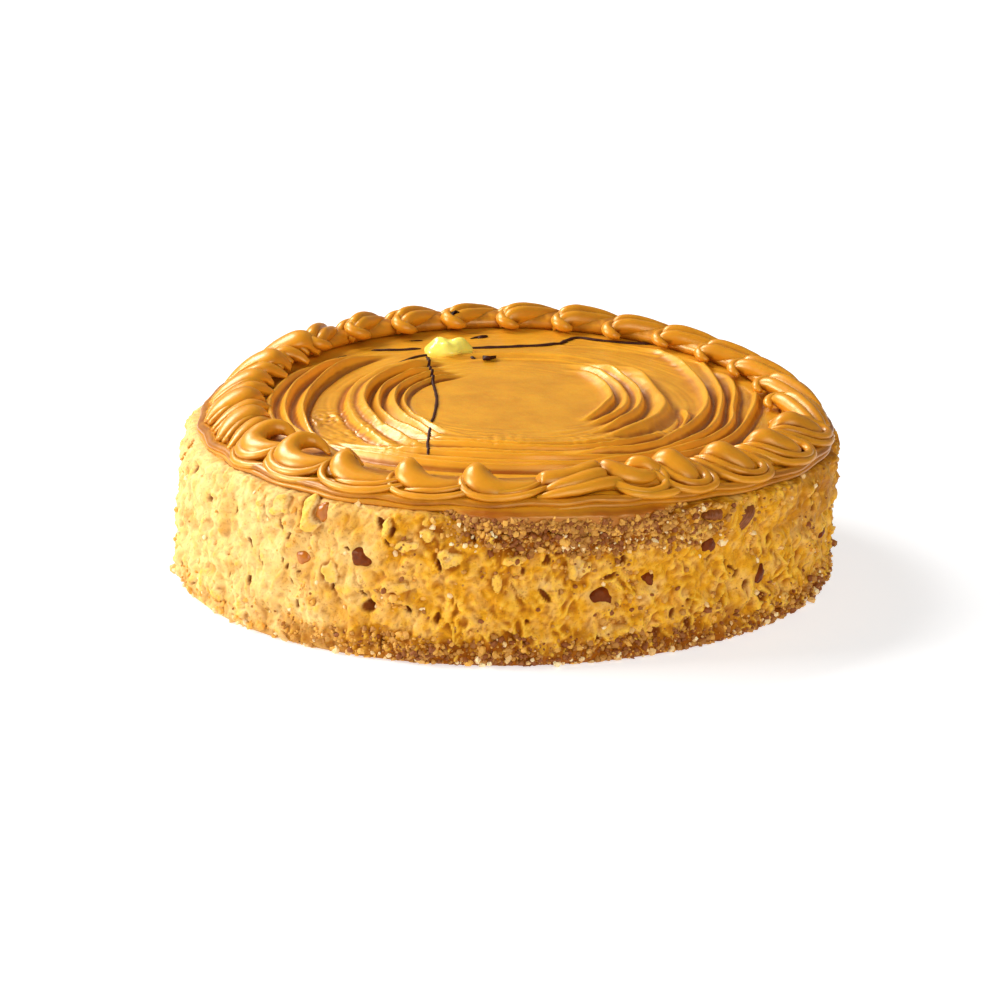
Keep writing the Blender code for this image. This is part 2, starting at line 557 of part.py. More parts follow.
def hollow_shares(turns_round):
    """How much of a hollow's inner side is free at places given in scrolls round the cake, from 0 to 1."""
    shares = np.zeros(len(turns_round))
    for index in HOLLOW_SCROLLS:
        off = np.abs((turns_round - index - 0.45 + SCROLLS / 2.0) % SCROLLS - SCROLLS / 2.0)
        shares = np.maximum(shares, [1.0 - smooth_step(0.25, 0.5, value) for value in off])
    return shares


def bed_ring(profile, narrow, wave, rise):
    """Points and faces of a closed ring of cream: the bed under the scrolls, or the band at its foot."""
    radius, height, half_width, half_height = profile
    angles = np.arange(BED_COLUMNS) * math.tau / BED_COLUMNS
    indexes = np.arange(-SCROLLS, SCROLLS + 1)
    turns_round = np.interp(angles, [scroll_start(index) for index in indexes], indexes)
    points = []
    for angle, turn, hollow in zip(angles, turns_round, hollow_shares(turns_round)):
        scallop = math.cos(math.tau * (turn - 0.42))
        back = 1.0 - smooth_step(50.0, 95.0, abs(angle_between(math.degrees(angle), 90.0)))
        back += 0.5 * lift_share(angle)
        middle = radius + narrow * hollow + wave * scallop - LEFT_PULL * left_share(angle)
        level = height + rise * back - FRONT_DROOP * droop_share(angle) - 0.6 * wave * scallop
        for k in range(BED_SIDES):
            around = math.tau * k / BED_SIDES
            r = middle + (half_width - narrow * hollow) * math.cos(around)
            z = max(level + half_height * math.sin(around), border_floor(r, angle))
            points.append(polar(r, angle, z))
    faces = []
    for i in range(BED_COLUMNS):
        low, high = i * BED_SIDES, (i + 1) % BED_COLUMNS * BED_SIDES
        for k in range(BED_SIDES):
            n = (k + 1) % BED_SIDES
            faces.append((low + k, low + n, high + n, high + k))
    return points, faces


def make_piped_border():
    """A closed garland of piped scrolls on a bed of cream, with a band round its foot.

    The tubes cross each other. A voxel remesh makes one solid of them, whose triangles are then
    thinned out where the surface is flat."""
    rng = np.random.default_rng(SCROLL_SEED)
    pieces = []
    for index in range(SCROLLS):
        angle = scroll_start(index)
        pitch = (scroll_start(index + 1) - angle) * BORDER_RADIUS / SCROLL_PITCH
        for stretch, rows in scroll_form(index):
            pieces.append(piped_tube(rows, angle, pitch, stretch, rng.uniform(-1.0, 1.0, 4)))
    pieces.append(bed_ring(BED, HOLLOW_SHIFT, 0.0, BACK_RISE_OF_BED))
    pieces.append(bed_ring(BAND, 0.0, 0.4, 0.0))
    points, faces = [], []
    for piece_points, piece_faces in pieces:
        faces += [[len(points) + k for k in face] for face in piece_faces]
        points += piece_points
    material = food_material("coffee_buttercream", (0.66, 0.31, 0.07), 0.38)
    border = add_object("piped_border", points, faces, material)
    remesh = border.modifiers.new("fuse", "REMESH")
    remesh.mode = "VOXEL"
    remesh.voxel_size = MM * BORDER_VOXEL
    graph = bpy.context.evaluated_depsgraph_get()
    fused = border.evaluated_get(graph).to_mesh()
    triangles = sum(len(face.vertices) - 2 for face in fused.polygons)
    thin = border.modifiers.new("thin", "DECIMATE")
    thin.ratio = BORDER_TRIANGLES / triangles


# Fruit and nuts that show in the crumb coat: name, angle in degrees, height,
# then width, height and depth of the piece, and its turn in degrees
FRUIT_AND_NUTS = (
    ("raisin_1", 245.6, 38.2, 10.0, 7.4, 6.0, -12.0),
    ("raisin_2", 286.0, 25.5, 10.0, 7.4, 6.0, -8.0),
    ("raisin_3", 294.0, 31.0, 6.0, 6.0, 5.0, 0.0),
    ("raisin_4", 305.2, 41.2, 7.0, 6.6, 5.5, 20.0),
    ("raisin_5", 317.3, 24.0, 6.0, 8.6, 5.5, -25.0),
    ("raisin_6", 342.1, 27.2, 7.0, 5.6, 5.0, 15.0),
    ("pecan_1", 305.6, 53.4, 8.6, 5.2, 6.0, -5.0),
    ("pecan_2", 312.4, 50.2, 6.4, 11.0, 6.0, -38.0),
    ("candied_peel_1", 233.7, 34.0, 6.2, 7.4, 5.0, 10.0),
    ("candied_peel_2", 237.0, 53.0, 5.6, 7.6, 5.0, 0.0),
    ("raisin_7", 22.0, 40.0, 9.0, 7.0, 6.0, 10.0),
    ("raisin_8", 71.0, 22.0, 8.6, 7.0, 6.0, -20.0),
    ("raisin_9", 128.0, 34.0, 9.6, 7.0, 6.0, 15.0),
    ("pecan_3", 98.0, 45.0, 7.0, 10.6, 6.0, 30.0),
    ("raisin_10", 171.0, 25.0, 8.0, 6.6, 5.5, -10.0),
)
PROUD_SHARE = 0.22
FRUIT_RINGS = 4
FRUIT_SIDES = 9


def fruit_points(angle, height, width, tall, depth, turn, grow):
    """A wrinkled bean whose flat side is turned outwards, set in the crumb coat."""
    a = math.radians(angle)
    out = np.array((math.cos(a), math.sin(a), 0.0))
    across = np.array((-math.sin(a), math.cos(a), 0.0))
    up = np.array((0.0, 0.0, 1.0))
    radius = side_radius(a, height) - depth * (0.5 - PROUD_SHARE)
    middle = out * radius + up * height
    c, s = math.cos(math.radians(turn)), math.sin(math.radians(turn))

    def place(u, v, w):
        """u runs along the width, v along the height and w outwards, each from -1 to 1."""
        wide, high, deep = u * (width / 2 + grow), v * (tall / 2 + grow), w * (depth / 2 + grow)
        return tuple(middle + across * (c * wide - s * high) + up * (s * wide + c * high) + out * deep)

    rows = []
    for ring in range(1, FRUIT_RINGS):
        polar_angle = math.pi * ring / FRUIT_RINGS
        w = -math.cos(polar_angle)
        row = []
        for i in range(FRUIT_SIDES):
            t = math.tau * i / FRUIT_SIDES
            wrinkle = 1.0 + 0.10 * math.sin(3.0 * t + angle) + 0.05 * math.sin(5.0 * t + height)
            spread = math.sin(polar_angle) * wrinkle
            row.append(place(spread * math.cos(t), spread * math.sin(t), w * 0.92))
        rows.append(row)
    return rows, place(0.0, 0.0, -0.92), place(0.05, 0.0, 0.80)


def make_fruit_and_nuts(cake_body):
    """Raisins, pecans and peel in pockets of the crumb coat, each a little proud of it."""
    materials = {
        "raisin": food_material("raisin", (0.11, 0.022, 0.012), 0.35),
        "pecan": food_material("pecan", (0.20, 0.062, 0.018), 0.5),
        "candied_peel": food_material("candied_peel", (0.45, 0.15, 0.02), 0.35),
    }
    cutters = []
    for name, *shape in FRUIT_AND_NUTS:
        points, faces = turned_solid(*fruit_points(*shape, 0.0))
        add_object(name, points, faces, materials[name.rsplit("_", 1)[0]])
        points, faces = turned_solid(*fruit_points(*shape, GAP))
        cutters.append(add_object("pocket", points, faces, cake_body.data.materials[0]))
    apply_boolean(cake_body, into_collection("pockets", cutters), "DIFFERENCE", "MANIFOLD")


# The dab of lemon cream on the top
DAB_MIDDLE = (-26.4, 63.5)
DAB_HALF = (8.8, 5.6)
DAB_HEIGHT = 7.4
DAB_LIMBS = 14


def dab_height(u, v):
    """Height of the dab over its footprint, u and v from -1 to 1: two lobes with a dip between them."""
    left = math.exp(-((u + 0.45) ** 2 + 0.5 * (v - 0.1) ** 2) / 0.22)
    right = math.exp(-((u - 0.5) ** 2 + 0.6 * v ** 2) / 0.26)
    front = math.exp(-((u + 0.1) ** 2 + (v + 0.65) ** 2) / 0.10)
    return min(1.0, 0.92 * left + 0.95 * right + 0.45 * front)


def make_yellow_dab():
    """A lump of lemon cream set down on the icing."""
    rows = []
    radii = (1.0, 1.08, 0.86, 0.5)
    rises = (0.0, 0.34, 0.80, 1.0)
    for spread, rise in zip(radii, rises):
        row = []
        for i in range(DAB_LIMBS):
            t = math.tau * i / DAB_LIMBS
            uneven = 1.0 + 0.08 * math.sin(3.0 * t + 0.6) + 0.06 * math.cos(5.0 * t)
            u, v = spread * uneven * math.cos(t), spread * uneven * math.sin(t)
            x, y = DAB_MIDDLE[0] + DAB_HALF[0] * u, DAB_MIDDLE[1] + DAB_HALF[1] * v
            floor = icing_height(math.hypot(x, y), math.atan2(y, x)) + 2.0 * GAP
            top = DAB_HEIGHT * (0.45 + 0.55 * dab_height(u * 0.8, v * 0.8)) - 2.0 * GAP
            row.append((x, y, floor + rise * top))
        rows.append(row)
    x, y = DAB_MIDDLE
    level = icing_height(math.hypot(x, y), math.atan2(y, x))
    points, faces = turned_solid(rows, (x, y, level + 2.5 * GAP), (x, y, level + 0.78 * DAB_HEIGHT))
    add_object("yellow_dab", points, faces, food_material("lemon_cream", (0.80, 0.55, 0.05), 0.3))


def main():
    for ob in list(bpy.data.objects):
        bpy.data.objects.remove(ob)
    cake_body = make_cake_body()
    make_icing()
    make_piped_border()
    make_fruit_and_nuts(cake_body)
    make_yellow_dab()


main()
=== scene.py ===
import math

import bpy
import numpy as np
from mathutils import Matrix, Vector, kdtree, noise


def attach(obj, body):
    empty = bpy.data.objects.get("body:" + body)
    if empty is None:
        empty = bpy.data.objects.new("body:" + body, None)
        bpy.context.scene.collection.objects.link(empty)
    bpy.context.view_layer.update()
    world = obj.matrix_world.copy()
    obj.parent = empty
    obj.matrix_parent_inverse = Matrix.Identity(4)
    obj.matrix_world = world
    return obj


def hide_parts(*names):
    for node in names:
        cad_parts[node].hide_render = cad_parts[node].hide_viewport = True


# A round coffee cake: sponge in a coat of crumbs, combed coffee icing and a border of piped scrolls.
# The pieces are drawn on a straight, upright cake in millimetres, +Z up and the front towards -Y.
# settled() then gives them the lean and the sag of the real cake and turns them to metres.

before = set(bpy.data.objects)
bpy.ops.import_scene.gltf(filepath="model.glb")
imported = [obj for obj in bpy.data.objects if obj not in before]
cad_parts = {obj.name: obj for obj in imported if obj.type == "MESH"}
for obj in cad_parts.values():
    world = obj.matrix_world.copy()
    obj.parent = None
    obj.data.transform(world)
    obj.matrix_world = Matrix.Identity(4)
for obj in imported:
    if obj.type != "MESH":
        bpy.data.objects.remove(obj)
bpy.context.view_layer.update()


# Camera
# A long lens 1.5 m away, looking down on the cake a little, as a shop photographs it.
CAMERA_TILT = math.radians(16.6)
CAMERA_DISTANCE = 1.5
CAMERA_LENS = 141.48
AIM_X = -0.00264
AIM_RISE = 0.0234

forward = Vector((0.0, math.cos(CAMERA_TILT), -math.sin(CAMERA_TILT)))
upward = Vector((0.0, math.sin(CAMERA_TILT), math.cos(CAMERA_TILT)))
lens = bpy.data.cameras.new("camera")
lens.lens = CAMERA_LENS
lens.sensor_width = 36.0
lens.clip_end = 30.0
camera = bpy.data.objects.new("camera", lens)
camera.location = Vector((AIM_X, 0.0, 0.0)) + upward * AIM_RISE - forward * CAMERA_DISTANCE
camera.rotation_euler = (math.pi / 2.0 - CAMERA_TILT, 0.0, 0.0)
bpy.context.scene.collection.objects.link(camera)
bpy.context.scene.camera = camera
bpy.context.scene.view_settings.view_transform = "Standard"


# Studio
# A white light table that fills the view, a dim white room, a soft lamp on the left, a higher one
# behind it that puts a shine on the cream, and a wide fill lamp at the front.
TABLE_HALF = 9.0
TABLE_DROP = 0.0005
TABLE_GREY = "#C4C4C4"
TABLE_GLOW = 0.62
ROOM_STRENGTH = 0.16
WHITE = (1.0, 1.0, 1.0, 1.0)
# Each lamp: its name, its place, what it looks at, its width and its power
LAMPS = (
    ("left_window", (-1.75, -0.1, 0.95), (0.0, 0.0, 0.05), 0.8, 36.0),
    ("back_window", (-1.15, 1.1, 1.55), (0.0, 0.0, 0.06), 0.85, 38.0),
    ("front_fill", (0.6, -1.9, 1.0), (0.0, 0.0, 0.03), 1.4, 24.0),
)


def linear(hex_colour):
    """An sRGB colour such as #E2A04A as linear red, green, blue and alpha."""
    parts = [int(hex_colour[i:i + 2], 16) / 255.0 for i in (1, 3, 5)]
    return tuple(p / 12.92 if p <= 0.04045 else ((p + 0.055) / 1.055) ** 2.4 for p in parts) + (1.0,)


def node(tree, kind, inputs, **settings):
    """Add a node, give it its settings, and set its inputs to values or link them to sockets."""
    made = tree.nodes.new(kind)
    for name, value in settings.items():
        setattr(made, name, value)
    for key, value in inputs.items():
        if isinstance(value, bpy.types.NodeSocket):
            tree.links.new(value, made.inputs[key])
        else:
            made.inputs[key].default_value = value
    return made


def new_material(name, finish):
    """A material, its node tree, its shader with the finish set on it, and the piece's own coordinates."""
    material = bpy.data.materials.new(name)
    material.use_nodes = True
    tree = material.node_tree
    shader = tree.nodes["Principled BSDF"]
    for socket, value in finish.items():
        shader.inputs[socket].default_value = value
    return material, tree, shader, tree.nodes.new("ShaderNodeTexCoord").outputs["Object"]


# Light table: opal acrylic with lamps under it, so that it looks white and takes only soft shadows.
white_table = new_material("light_table_top", {
    "Base Color": linear(TABLE_GREY), "Roughness": 0.7,
    "Emission Color": WHITE, "Emission Strength": TABLE_GLOW})[0]
table_mesh = bpy.data.meshes.new("table")
table_mesh.from_pydata([(-TABLE_HALF, -TABLE_HALF, 0), (TABLE_HALF, -TABLE_HALF, 0),
                        (TABLE_HALF, TABLE_HALF, 0), (-TABLE_HALF, TABLE_HALF, 0)], [], [(0, 1, 2, 3)])
table_mesh.materials.append(white_table)
table = bpy.data.objects.new("table", table_mesh)
table.location = (0.0, 0.0, -TABLE_DROP)
bpy.context.scene.collection.objects.link(table)

room = bpy.data.worlds.new("white_room")
room.use_nodes = True
room.node_tree.nodes["Background"].inputs["Color"].default_value = WHITE
room.node_tree.nodes["Background"].inputs["Strength"].default_value = ROOM_STRENGTH
bpy.context.scene.world = room

for name, place, aim, size, power in LAMPS:
    light = bpy.data.lights.new(name, "AREA")
    light.size = size
    light.energy = power
    lamp = bpy.data.objects.new(name, light)
    lamp.location = place
    lamp.rotation_euler = (Vector(aim) - Vector(place)).to_track_quat("-Z", "Y").to_euler()
    bpy.context.scene.collection.objects.link(lamp)


# Crumb-coated side
# Sponge rolled in torn sponge, crumbs and nuts over a thin coat of cream. The coat is pressed on by
# hand, so it is lumpy, with shreds that stand off it, pits between them and browner crumbs at the foot.
# Its colour also holds painted shade in the hollows, in the pits and at the foot, and painted light on the
# crests and on the left.
MM = 0.001
CAKE_RADIUS = 124.0
ICING_LEVEL = 64.0
TOP_LEAN = 4.5
RIGHT_DROP = 1.9
BACK_RISE = 2.2
SIDE_SAG = 5.5
SETTLE_REACH = 110.0
FOOT_SHIFT = -1.65


def settled(points):
    """Points of the straight cake in millimetres, moved to where the settled cake has them, in metres."""
    x, y, z = points[:, 0], points[:, 1], points[:, 2]
    height = z / ICING_LEVEL
    reach = x / SETTLE_REACH
    lift = BACK_RISE * y / SETTLE_REACH - RIGHT_DROP * reach - SIDE_SAG * reach * reach
    return MM * np.stack([x + FOOT_SHIFT + TOP_LEAN * height * height, y, z + height * lift], axis=1)


def polar(radius, angle, z):
    """Points from arrays of radius, angle and height."""
    radius, angle, z = np.broadcast_arrays(radius, angle, z)
    return np.stack([radius * np.cos(angle), radius * np.sin(angle), z], axis=-1).reshape(-1, 3)


def smooth_step(low, high, value):
    """From 0 at the low value to 1 at the high one, with a soft start and end."""
    share = np.clip((value - low) / (high - low), 0.0, 1.0)
    return share * share * (3.0 - 2.0 * share)


def angle_between(a, b):
    """The difference of two angles in degrees, from -180 to 180."""
    return (a - b + 180.0) % 360.0 - 180.0


def noise_at(points, size, shift=0.0):
    """Smooth noise from -1 to 1 at each point, in lumps of so many millimetres; the shift picks a pattern."""
    return np.array([noise.noise(place) for place in (points / size + shift).tolist()])


def ring_faces(rows, columns):
    """Quads between rows of points that run anticlockwise round Z, the first row lowest or outermost."""
    low = np.arange(rows - 1)[:, None] * columns
    here = np.arange(columns)[None, :]
    after = (here + 1) % columns
    corners = (low + here, low + after, low + columns + after, low + columns + here)
    return np.stack(np.broadcast_arrays(*corners), axis=-1).reshape(-1, 4).tolist()


def ring_faces_closing(rows, columns):
    """The quads that join the last row of a ring-shaped tube back to its first."""
    here = np.arange(columns)
    after = (here + 1) % columns
    last = (rows - 1) * columns
    return np.stack([last + here, last + after, after, here], axis=-1).tolist()


def add_piece(name, points, faces, material, smooth=True, **attributes):
    """A mesh piece that rides on the cake, with one number per point for each attribute."""
    mesh = bpy.data.meshes.new(name)
    mesh.from_pydata(points.tolist(), [], faces)
    mesh.polygons.foreach_set("use_smooth", [smooth] * len(mesh.polygons))
    for key, values in attributes.items():
        numbers = np.ravel(values).astype(np.float32)
        mesh.attributes.new(key, "FLOAT", "POINT").data.foreach_set("value", numbers)
    mesh.materials.append(material)
    mesh.update()
    ob = bpy.data.objects.new(name, mesh)
    bpy.context.scene.collection.objects.link(ob)
    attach(ob, "root")
    return ob


# The icing and its border sag over the rim a little left of the front. The border stands further in on
# the left, and its crest is higher behind that. The icing is smeared down the side at the front.
# A place on the rim is the angle of its middle, how far from there the effect is full, and how far from
# there it ends, all in degrees.
FRONT_DROOP = 2.0
DROOP_PLACE = (254.0, 8.0, 36.0)
LEFT_PULL = 1.6
PULL_PLACE = (188.0, 10.0, 45.0)
CREST_LIFT = 2.8
LIFT_PLACE = (145.0, 12.0, 48.0)
SMEAR_PLACE = (279.0, 10.0, 25.0)
# The lower edge of the icing, where the coat ends: a lip all round and the deep smear at the front
LIP_HEIGHT = 58.7
SMEAR_HEIGHT = 51.6


def share_at(angle, place):
    """How much of an effect there is at angles in radians: 1 in the middle of its place on the rim."""
    middle, full, end = place
    return 1.0 - smooth_step(full, end, np.abs(angle_between(np.degrees(angle), middle)))


def lip_curve(angle):
    """Height of the icing's lower edge, which is a little wavy, at angles in radians."""
    wave = 0.25 * np.sin(9.0 * angle) + 0.15 * np.sin(17.0 * angle + 1.0)
    lip = LIP_HEIGHT - FRONT_DROOP * share_at(angle, DROOP_PLACE)
    return lip + (SMEAR_HEIGHT - lip) * share_at(angle, SMEAR_PLACE) + wave


# The coat's larger lumps, its rounded shoulder under the icing and its narrower foot
CRAG_SIZE = 9.0
CRAG_DEPTH = 2.3
FINE_CRAG_SIZE = 4.2
FINE_CRAG_DEPTH = 1.6
FINE_CRAG_PLACE = (400.0, 0.0, 0.0)
CRAGS_FROM_HEIGHT = 5.0
SHOULDER_START = 46.0
SHOULDER_PULL = 2.6
FOOT_PULL = 1.9
FOOT_HEIGHT = 3.0
SIDE_COLUMNS = 1200
SIDE_ROWS = 70
SHOULDER_ROWS = 11
SHOULDER_ROUND = 3.6
SHOULDER_RISE = 0.62
COLUMN_STEP = math.tau * CAKE_RADIUS / SIDE_COLUMNS


def side_radius(angle, z):
    """Radius of the lumpy coat, without shreds and pits."""
    points = polar(CAKE_RADIUS, angle, z)
    lumps = noise_at(points * (1.0, 1.0, 1.2), CRAG_SIZE)
    small = noise_at(points[:, (1, 0, 2)] + FINE_CRAG_PLACE, FINE_CRAG_SIZE)
    crags = (CRAG_DEPTH * lumps + FINE_CRAG_DEPTH * small).reshape(np.shape(angle))
    shoulder = np.maximum(z - SHOULDER_START, 0.0) / (ICING_LEVEL - SHOULDER_START)
    foot = FOOT_PULL * np.clip(1.0 - z / FOOT_HEIGHT, 0.0, 1.0) ** 2
    calm_foot = smooth_step(0.0, CRAGS_FROM_HEIGHT, z)
    return CAKE_RADIUS - SHOULDER_PULL * shoulder ** 2 - foot + crags * calm_foot


side_angles = np.arange(SIDE_COLUMNS) * math.tau / SIDE_COLUMNS
side_tops = lip_curve(side_angles) - SHOULDER_ROUND * 0.5
upright = np.linspace(0.0, 1.0, SIDE_ROWS)[:, None] * side_tops[None, :]
turn = np.linspace(0.0, math.pi / 2.0, SHOULDER_ROWS + 1)[1:, None]
side_z = np.vstack([upright, side_tops + SHOULDER_RISE * SHOULDER_ROUND * np.sin(turn)])
side_a = np.broadcast_to(side_angles, side_z.shape)
side_r = side_radius(side_a, np.minimum(side_z, side_tops))
side_r[SIDE_ROWS:] -= SHOULDER_ROUND * (1.0 - np.cos(turn))
side_points = polar(side_r, side_a, side_z)


def coat_noise(size, shift):
    """Noise over the coat's surface, one number for each of its points."""
    return noise_at(side_points, size, shift).reshape(side_z.shape)


def side_window(angle_degrees, reach):
    """The columns within reach of an angle, and each one's distance from it along the side."""
    middle = math.radians(angle_degrees) * CAKE_RADIUS / COLUMN_STEP
    span = math.ceil(reach / COLUMN_STEP)
    steps = np.arange(math.floor(middle) - span, math.floor(middle) + span + 1)
    return steps % SIDE_COLUMNS, (steps - middle) * COLUMN_STEP


def local_places(angle_degrees, height, turn_degrees, reach):
    """Columns near a place, and every row's places there along and across a turned axis."""
    columns, along = side_window(angle_degrees, reach)
    up = side_z[:, columns] - height
    c, s = math.cos(math.radians(turn_degrees)), math.sin(math.radians(turn_degrees))
    return columns, along * c + up * s, up * c - along * s


# Fruit and nuts that show in the coat: name, angle in degrees, height, then width, height and depth
# of the piece, and its turn in degrees
FRUIT_AND_NUTS = (
    ("raisin_1", 245.6, 38.2, 10.0, 7.4, 6.0, -12.0),
    ("raisin_2", 286.0, 25.5, 10.0, 7.4, 6.0, -8.0),
    ("raisin_3", 294.0, 31.0, 6.0, 6.0, 5.0, 0.0),
    ("raisin_4", 305.2, 41.2, 7.0, 6.6, 5.5, 20.0),
    ("raisin_5", 317.3, 24.0, 6.0, 8.6, 5.5, -25.0),
    ("raisin_6", 342.1, 27.2, 7.0, 5.6, 5.0, 15.0),
    ("pecan_1", 305.6, 53.4, 8.6, 5.2, 6.0, -5.0),
    ("pecan_2", 312.4, 50.2, 6.4, 11.0, 6.0, -38.0),
    ("candied_peel_1", 233.7, 34.0, 6.2, 7.4, 5.0, 10.0),
    ("candied_peel_2", 237.0, 53.0, 5.6, 7.6, 5.0, 0.0),
    ("raisin_7", 22.0, 40.0, 9.0, 7.0, 6.0, 10.0),
    ("raisin_8", 71.0, 22.0, 8.6, 7.0, 6.0, -20.0),
    ("raisin_9", 128.0, 34.0, 9.6, 7.0, 6.0, 15.0),
    ("pecan_3", 98.0, 45.0, 7.0, 10.6, 6.0, 30.0),
    ("raisin_10", 171.0, 25.0, 8.0, 6.6, 5.5, -10.0),
)
POCKET_MARGIN = 0.5
pocket = np.zeros(side_z.shape)
for name, angle, height, width, tall, depth, tilt in FRUIT_AND_NUTS:
    columns, across, up = local_places(angle, height, tilt, 0.9 * max(width, tall))
    reach = np.hypot(across / (0.5 * width + POCKET_MARGIN), up / (0.5 * tall + POCKET_MARGIN))
    pocket[:, columns] = np.maximum(pocket[:, columns], 1.0 - smooth_step(0.95, 1.25, reach))

# Lumps of cream and flakes of sponge that stand out clearly, with torn edges. Each is its angle, height,
# half width, half height, turn in degrees and rise.
CLEAR_LUMPS = (
    (235.0, 52.5, 4.0, 7.0, 8.0, 3.0), (228.5, 53.0, 3.4, 4.4, -20.0, 2.2),
    (224.0, 50.0, 2.6, 5.0, 15.0, 1.6), (249.4, 51.0, 1.8, 3.6, -15.0, 2.2),
    (256.4, 50.0, 2.2, 4.0, 28.0, 2.6), (266.8, 49.0, 2.0, 2.4, 40.0, 2.6),
    (260.3, 41.0, 5.0, 3.6, -15.0, 2.2), (253.0, 44.5, 4.6, 2.0, 12.0, 1.6),
    (252.0, 28.5, 6.0, 2.2, -8.0, 1.2), (271.0, 41.0, 4.6, 1.8, 10.0, 1.8),
    (281.5, 38.0, 4.4, 5.4, 20.0, 2.0), (240.0, 31.0, 2.6, 4.0, 20.0, 2.0),
    (268.5, 33.0, 1.4, 5.4, 8.0, 1.8), (303.0, 47.0, 4.0, 2.4, 20.0, 1.6),
    (325.0, 9.0, 2.6, 3.4, 20.0, 2.2), (220.0, 8.0, 3.0, 4.4, 0.0, 2.0),
    (213.0, 9.0, 2.8, 4.0, 10.0, 1.8), (207.0, 12.0, 2.6, 4.6, -10.0, 1.6),
)
TORN_EDGE_SIZE = 2.8
TORN_EDGE_DEPTH = 0.9
lump = np.zeros(side_z.shape)
torn_edge = TORN_EDGE_DEPTH * coat_noise(TORN_EDGE_SIZE, 91.0)
for angle, height, half_width, half_height, tilt, rise in CLEAR_LUMPS:
    columns, across, up = local_places(angle, height, tilt, half_height + half_width)
    reach = (across / half_width) ** 2 + (up / half_height) ** 2 + torn_edge[:, columns]
    lump[:, columns] = np.maximum(lump[:, columns], rise * smooth_step(0.0, 0.45, 1.0 - reach))

# Pits: most are slits that run down the side; the clear ones in the photograph come first.
# Each is its angle, height, half width, half height and turn.
CLEAR_PITS = (
    (233.4, 31.0, 1.0, 2.4, 12.0), (248.0, 52.0, 1.2, 2.2, 30.0), (250.4, 49.4, 0.9, 1.8, -10.0),
    (222.0, 20.0, 1.0, 2.2, 35.0), (208.0, 46.0, 0.8, 1.6, -15.0), (229.0, 45.0, 1.0, 2.6, 20.0),
    (243.0, 41.0, 0.5, 1.4, 70.0), (231.0, 42.0, 0.5, 1.3, -20.0), (276.5, 40.5, 0.9, 1.8, 12.0),
    (278.3, 44.0, 1.1, 2.4, -35.0), (272.5, 37.0, 0.8, 1.2, 0.0),
    (276.4, 27.5, 0.9, 3.0, 40.0), (268.0, 49.0, 1.4, 1.0, 0.0),
    (247.3, 20.0, 2.6, 2.2, 20.0), (333.0, 51.0, 1.0, 3.6, -8.0), (334.5, 44.0, 0.7, 2.4, 8.0),
    (343.5, 37.0, 0.8, 3.2, -12.0), (341.0, 45.0, 0.6, 2.0, 10.0), (346.0, 33.0, 0.6, 2.6, 10.0),
    (327.5, 26.0, 1.1, 2.4, 12.0), (320.0, 37.5, 0.6, 1.9, -25.0), (309.0, 33.0, 0.8, 1.2, 0.0),
    (351.0, 47.0, 0.7, 2.0, -10.0), (318.5, 14.5, 1.8, 2.0, 30.0), (302.0, 11.0, 1.4, 2.2, 0.0),
    (296.0, 9.0, 2.2, 2.0, 0.0), (287.0, 33.5, 2.8, 0.7, 25.0), (312.0, 27.0, 0.7, 1.8, -40.0),
)
PITS = 100
PIT_SEED = 9
PIT_HALF_WIDTHS = (0.35, 0.95)
PIT_STRETCHES = (1.2, 3.6)
PIT_HEIGHTS = (4.0, 57.0)
PIT_TILT_SPREAD = 28.0
pits = list(CLEAR_PITS)
rng = np.random.default_rng(PIT_SEED)
for _ in range(PITS):
    half_width = rng.uniform(*PIT_HALF_WIDTHS)
    half_height = half_width * rng.uniform(*PIT_STRETCHES)
    pits.append((rng.uniform(0.0, 360.0), rng.uniform(*PIT_HEIGHTS), half_width, half_height,
                 rng.normal(0.0, PIT_TILT_SPREAD)))
pit = np.zeros(side_z.shape)
for angle, height, half_width, half_height, tilt in pits:
    columns, across, up = local_places(angle, height, tilt, half_height + half_width + 1.5)
    reach = np.hypot(across / half_width, up / half_height)
    pit[:, columns] = np.maximum(pit[:, columns], 1.0 - smooth_step(0.75, 1.3, reach))

# Where the coat is loose crumbs, where smooth cream and where smooth caramel, and where it is most torn.
# Each is a share from 0 to 1, and the factors say how much each cause adds or takes away.
PATCH_SIZE = 15.0
CLOUD_SIZE = 9.0
CREAMY_LIT_LEFT_PLACE = (200.0, 20.0, 66.0)
CARAMEL_PLACE = (350.0, 16.0, 32.0)
CARAMEL_HEIGHTS = (28.0, 42.0)
PRALINE_PLACE = (293.0, 12.0, 17.0)
PRALINE_HEIGHTS = (40.0, 46.0)
FOOT_BAND_HEIGHTS = (4.0, 15.0)
UNDER_SMEAR_HEIGHTS = (-11.0, -5.0)
TORN_HEIGHTS = (22.0, 42.0)
patches = coat_noise(PATCH_SIZE, 31.0)
cloudy = coat_noise(CLOUD_SIZE, 77.0)
on_left = share_at(side_a, CREAMY_LIT_LEFT_PLACE)
smooth_right = share_at(side_a, CARAMEL_PLACE) * smooth_step(*CARAMEL_HEIGHTS, side_z)
foot_band = (1.0 - smooth_step(*FOOT_BAND_HEIGHTS, side_z + 7.0 * patches)) * (1.0 - 0.85 * on_left)
praline = share_at(side_a, PRALINE_PLACE) * smooth_step(*PRALINE_HEIGHTS, side_z)
below_lip = side_z - lip_curve(side_a) + 4.0 * patches
under_smear = share_at(side_a, SMEAR_PLACE) * smooth_step(*UNDER_SMEAR_HEIGHTS, below_lip)
loose = (1.6 * patches - 0.15) * (1.0 - 0.85 * on_left) * (1.0 - 0.8 * smooth_right)
crumbly = np.clip(np.maximum.reduce([foot_band, praline, under_smear, loose]), 0.0, 1.0)
